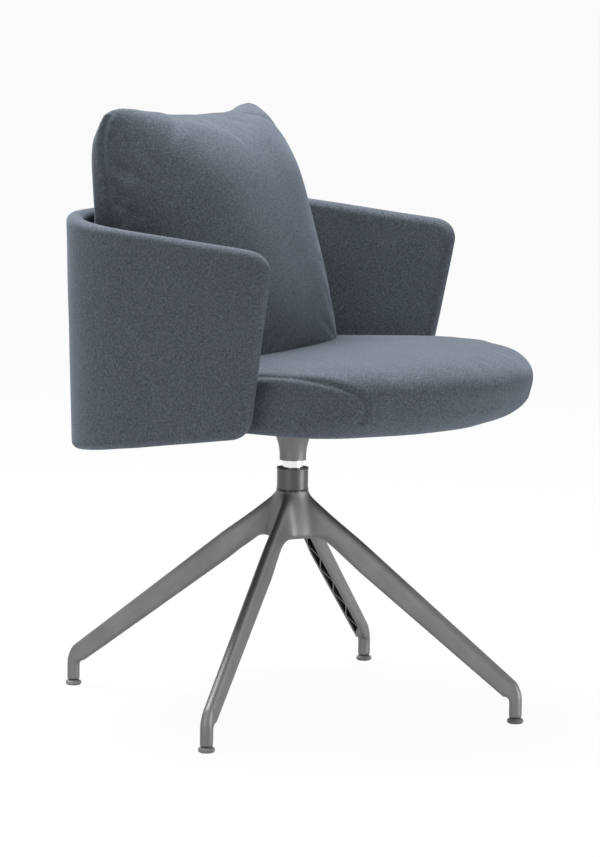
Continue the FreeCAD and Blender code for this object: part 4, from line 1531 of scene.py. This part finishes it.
@dataclass
class Studio:
    """White floor and surroundings, soft lights and the photograph's viewpoint."""

    eye: Point = (-4.482, -2.2155, 1.0876)
    pitch: float = math.radians(8.08)
    roll: float = math.radians(0.73)
    heading: Point = (0.8965, 0.4431, 0.0)
    lens: float = 156.9
    sensor: float = 36.0
    shift: Flat = (0.00774, 0.00112)
    fill: Colour = (0.19, 0.19, 0.19, 1.0)
    floor_size: float = 240.0
    floor_colour: Colour = (0.74, 0.74, 0.74, 1.0)
    floor_roughness: float = 0.9
    floor_gloss: float = 0.1
    floor_glow: float = 0.95
    lights: tuple[SoftLight, ...] = (
        SoftLight("top_light", place=(0.1, 0.62, 2.85), aim=(0, -0.1, 0.45), size=2.0, power=170.0),
        SoftLight("left_light", place=(-2.75, 0.3, 0.9), aim=(0, 0, 0.5), size=1.7, power=16.0),
        SoftLight("front_light", place=(0.3, -2.1, 0.15), aim=(0, -0.25, 0.44), size=1.3, power=30.0),
    )

    @staticmethod
    def white_for_viewer(tree: bpy.types.NodeTree) -> Socket:
        """Adds a switch that is 1 for rays that show the surroundings, directly or in metal.

        Args:
            tree: Node tree that gets the switch.

        Returns:
            The switch's socket.
        """
        path = tree.nodes.new("ShaderNodeLightPath")
        total = path.outputs["Is Camera Ray"]
        for name in ("Is Glossy Ray", "Is Transmission Ray"):
            either = tree.nodes.new("ShaderNodeMath")
            either.operation = "MAXIMUM"
            tree.links.new(total, either.inputs[0])
            tree.links.new(path.outputs[name], either.inputs[1])
            total = either.outputs[0]
        return total

    @staticmethod
    def show(tree: bpy.types.NodeTree, share: Socket, lit: bpy.types.Node, white: bpy.types.Node,
             output: str) -> None:
        """Shows one shader in place of another.

        Args:
            tree: Node tree of both shaders.
            share: How much of the white shader shows.
            lit: Shader that lights or is lit.
            white: Shader that shows as white.
            output: Name of the tree's output node.
        """
        mix = tree.nodes.new("ShaderNodeMixShader")
        tree.links.new(share, mix.inputs["Fac"])
        tree.links.new(lit.outputs[0], mix.inputs[1])
        tree.links.new(white.outputs[0], mix.inputs[2])
        tree.links.new(mix.outputs[0], tree.nodes[output].inputs["Surface"])

    def surroundings(self) -> None:
        """Lights the world softly and shows it white."""
        world = bpy.data.worlds.new("studio")
        bpy.context.scene.world = world
        world.use_nodes = True
        tree = world.node_tree
        lit = tree.nodes["Background"]
        lit.inputs["Color"].default_value = self.fill
        white = tree.nodes.new("ShaderNodeBackground")
        white.inputs["Color"].default_value = WHITE
        self.show(tree, self.white_for_viewer(tree), lit, white, "World Output")

    def floor(self) -> None:
        """Lays a pale floor that keeps a faint shadow."""
        Bench.clear()
        bpy.ops.mesh.primitive_plane_add(size=self.floor_size)
        floor = bpy.context.object
        floor.name = "floor"
        sheet = NodeSheet("pale_floor")
        sheet.set(Base_Color=self.floor_colour, Roughness=self.floor_roughness,
                  Specular_IOR_Level=self.floor_gloss)
        glow = sheet.add("ShaderNodeEmission", Color=WHITE, Strength=1.0)
        share = sheet.add("ShaderNodeMath")
        share.operation = "MULTIPLY"
        share.inputs[1].default_value = self.floor_glow
        sheet.join(self.white_for_viewer(sheet.tree), share.inputs[0])
        self.show(sheet.tree, share.outputs[0], sheet.shader, glow, "Material Output")
        floor.data.materials.append(sheet.material)

    def viewpoint(self) -> None:
        """Sets the camera where the photograph was taken."""
        Bench.clear()
        ahead = Vector(self.heading).normalized() * math.cos(self.pitch)
        ahead -= Vector((0, 0, math.sin(self.pitch)))
        level = ahead.cross(Vector((0, 0, 1))).normalized()
        upright = level.cross(ahead)
        right = level * math.cos(self.roll) + upright * math.sin(self.roll)
        up = upright * math.cos(self.roll) - level * math.sin(self.roll)
        bpy.ops.object.camera_add(location=self.eye)
        camera = bpy.context.object
        camera.rotation_euler = Matrix((right, up, -ahead)).transposed().to_euler()
        camera.data.lens, camera.data.sensor_width = self.lens, self.sensor
        camera.data.shift_x, camera.data.shift_y = self.shift
        bpy.context.scene.camera = camera

    def build(self) -> None:
        """Sets up the whole studio."""
        bpy.context.scene.view_settings.view_transform = "Standard"
        self.surroundings()
        self.floor()
        for light in self.lights:
            light.hang()
        self.viewpoint()


@dataclass
class Hardware:
    """CAD nodes that keep their shape, with the finish of each; the rest of them are plain steel."""

    chrome: tuple[str, ...] = ("swivel_rod",)
    plastic: tuple[str, ...] = ("collar_gasket", "upper_bush", "lower_bush", "ball_cage", "thrust_washer")
    coated: tuple[str, ...] = ("seat_mount", "side_bracket_1", "side_bracket_2", "side_bracket_3",
                               "side_bracket_4", "back_upright_left", "back_upright_right")
    plywood: tuple[str, ...] = ("seat_board", "back_board", "tub_core")
    sleeve: str = "collar_sleeve"
    sleeve_coat: MetalCoat = MetalCoat(
        "sleeve_satin", dark=(0.085, 0.084, 0.085, 1.0), light=(0.1, 0.099, 0.1, 1.0),
        rough_low=0.28, rough_high=0.4, metallic=0.92, grain_per_metre=900.0, relief=0.0001)

    def dress(self, finishes: dict[Slot, Material]) -> None:
        """Gives every kept node its finish.

        Args:
            finishes: Material of each slot.
        """
        groups = {Slot.CHROME: self.chrome, Slot.PLASTIC: self.plastic, Slot.COATED: self.coated,
                  Slot.PLYWOOD: self.plywood}
        sleeve = self.sleeve_coat.material()
        for name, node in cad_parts.items():
            if node.hide_render:
                continue
            slot = next((s for s, names in groups.items() if name in names), Slot.STEEL)
            finish = sleeve if name == self.sleeve else finishes[slot]
            node.data.materials.clear()
            node.data.materials.append(finish)
            LOG.info("%s: %s", name, finish.name)


def chair_finishes() -> dict[Slot, Material]:
    """Makes every finish of the chair.

    Returns:
        The material of each slot.
    """
    finishes = {
        Slot.FELT: FeltCloth(),
        Slot.COATED: MetalCoat(
            "graphite_coat", dark=(0.155, 0.154, 0.154, 1.0), light=(0.185, 0.184, 0.184, 1.0),
            rough_low=0.44, rough_high=0.54, metallic=0.92, grain_per_metre=700.0, relief=0.0001),
        Slot.CHROME: MetalCoat(
            "polished_chrome", dark=(0.80, 0.81, 0.82, 1.0), light=(0.86, 0.87, 0.88, 1.0),
            rough_low=0.05, rough_high=0.10, metallic=1.0, grain_per_metre=400.0, relief=0.00003),
        Slot.STEEL: MetalCoat(
            "plain_steel", dark=(0.42, 0.42, 0.43, 1.0), light=(0.52, 0.52, 0.53, 1.0),
            rough_low=0.28, rough_high=0.4, metallic=1.0, grain_per_metre=600.0, relief=0.0001),
        Slot.GLIDE: MouldedPlastic(
            "glide_plastic", dark=(0.15, 0.15, 0.152, 1.0), light=(0.2, 0.2, 0.203, 1.0),
            rough_low=0.44, rough_high=0.6),
        Slot.PLASTIC: MouldedPlastic(
            "dark_plastic", dark=(0.012, 0.012, 0.013, 1.0), light=(0.02, 0.02, 0.022, 1.0),
            rough_low=0.39, rough_high=0.55),
        Slot.PLYWOOD: StainedPly(),
    }
    return {slot: finish.material() for slot, finish in finishes.items()}


def main() -> None:
    """Builds the chair piece by piece, then the studio around it."""
    logging.basicConfig(level=logging.INFO, format="%(asctime)s %(message)s", force=True)
    coats = chair_finishes()
    TubShell().build(coats[Slot.FELT])
    SeatPad().build(coats[Slot.FELT])
    BackPillow().build(coats[Slot.FELT])
    PyramidBase().build(coats[Slot.COATED])
    GlideSet().build(coats[Slot.GLIDE])
    Hardware().dress(coats)
    Studio().build()
    bpy.context.view_layer.update()


if __name__ == "__main__":
    main()
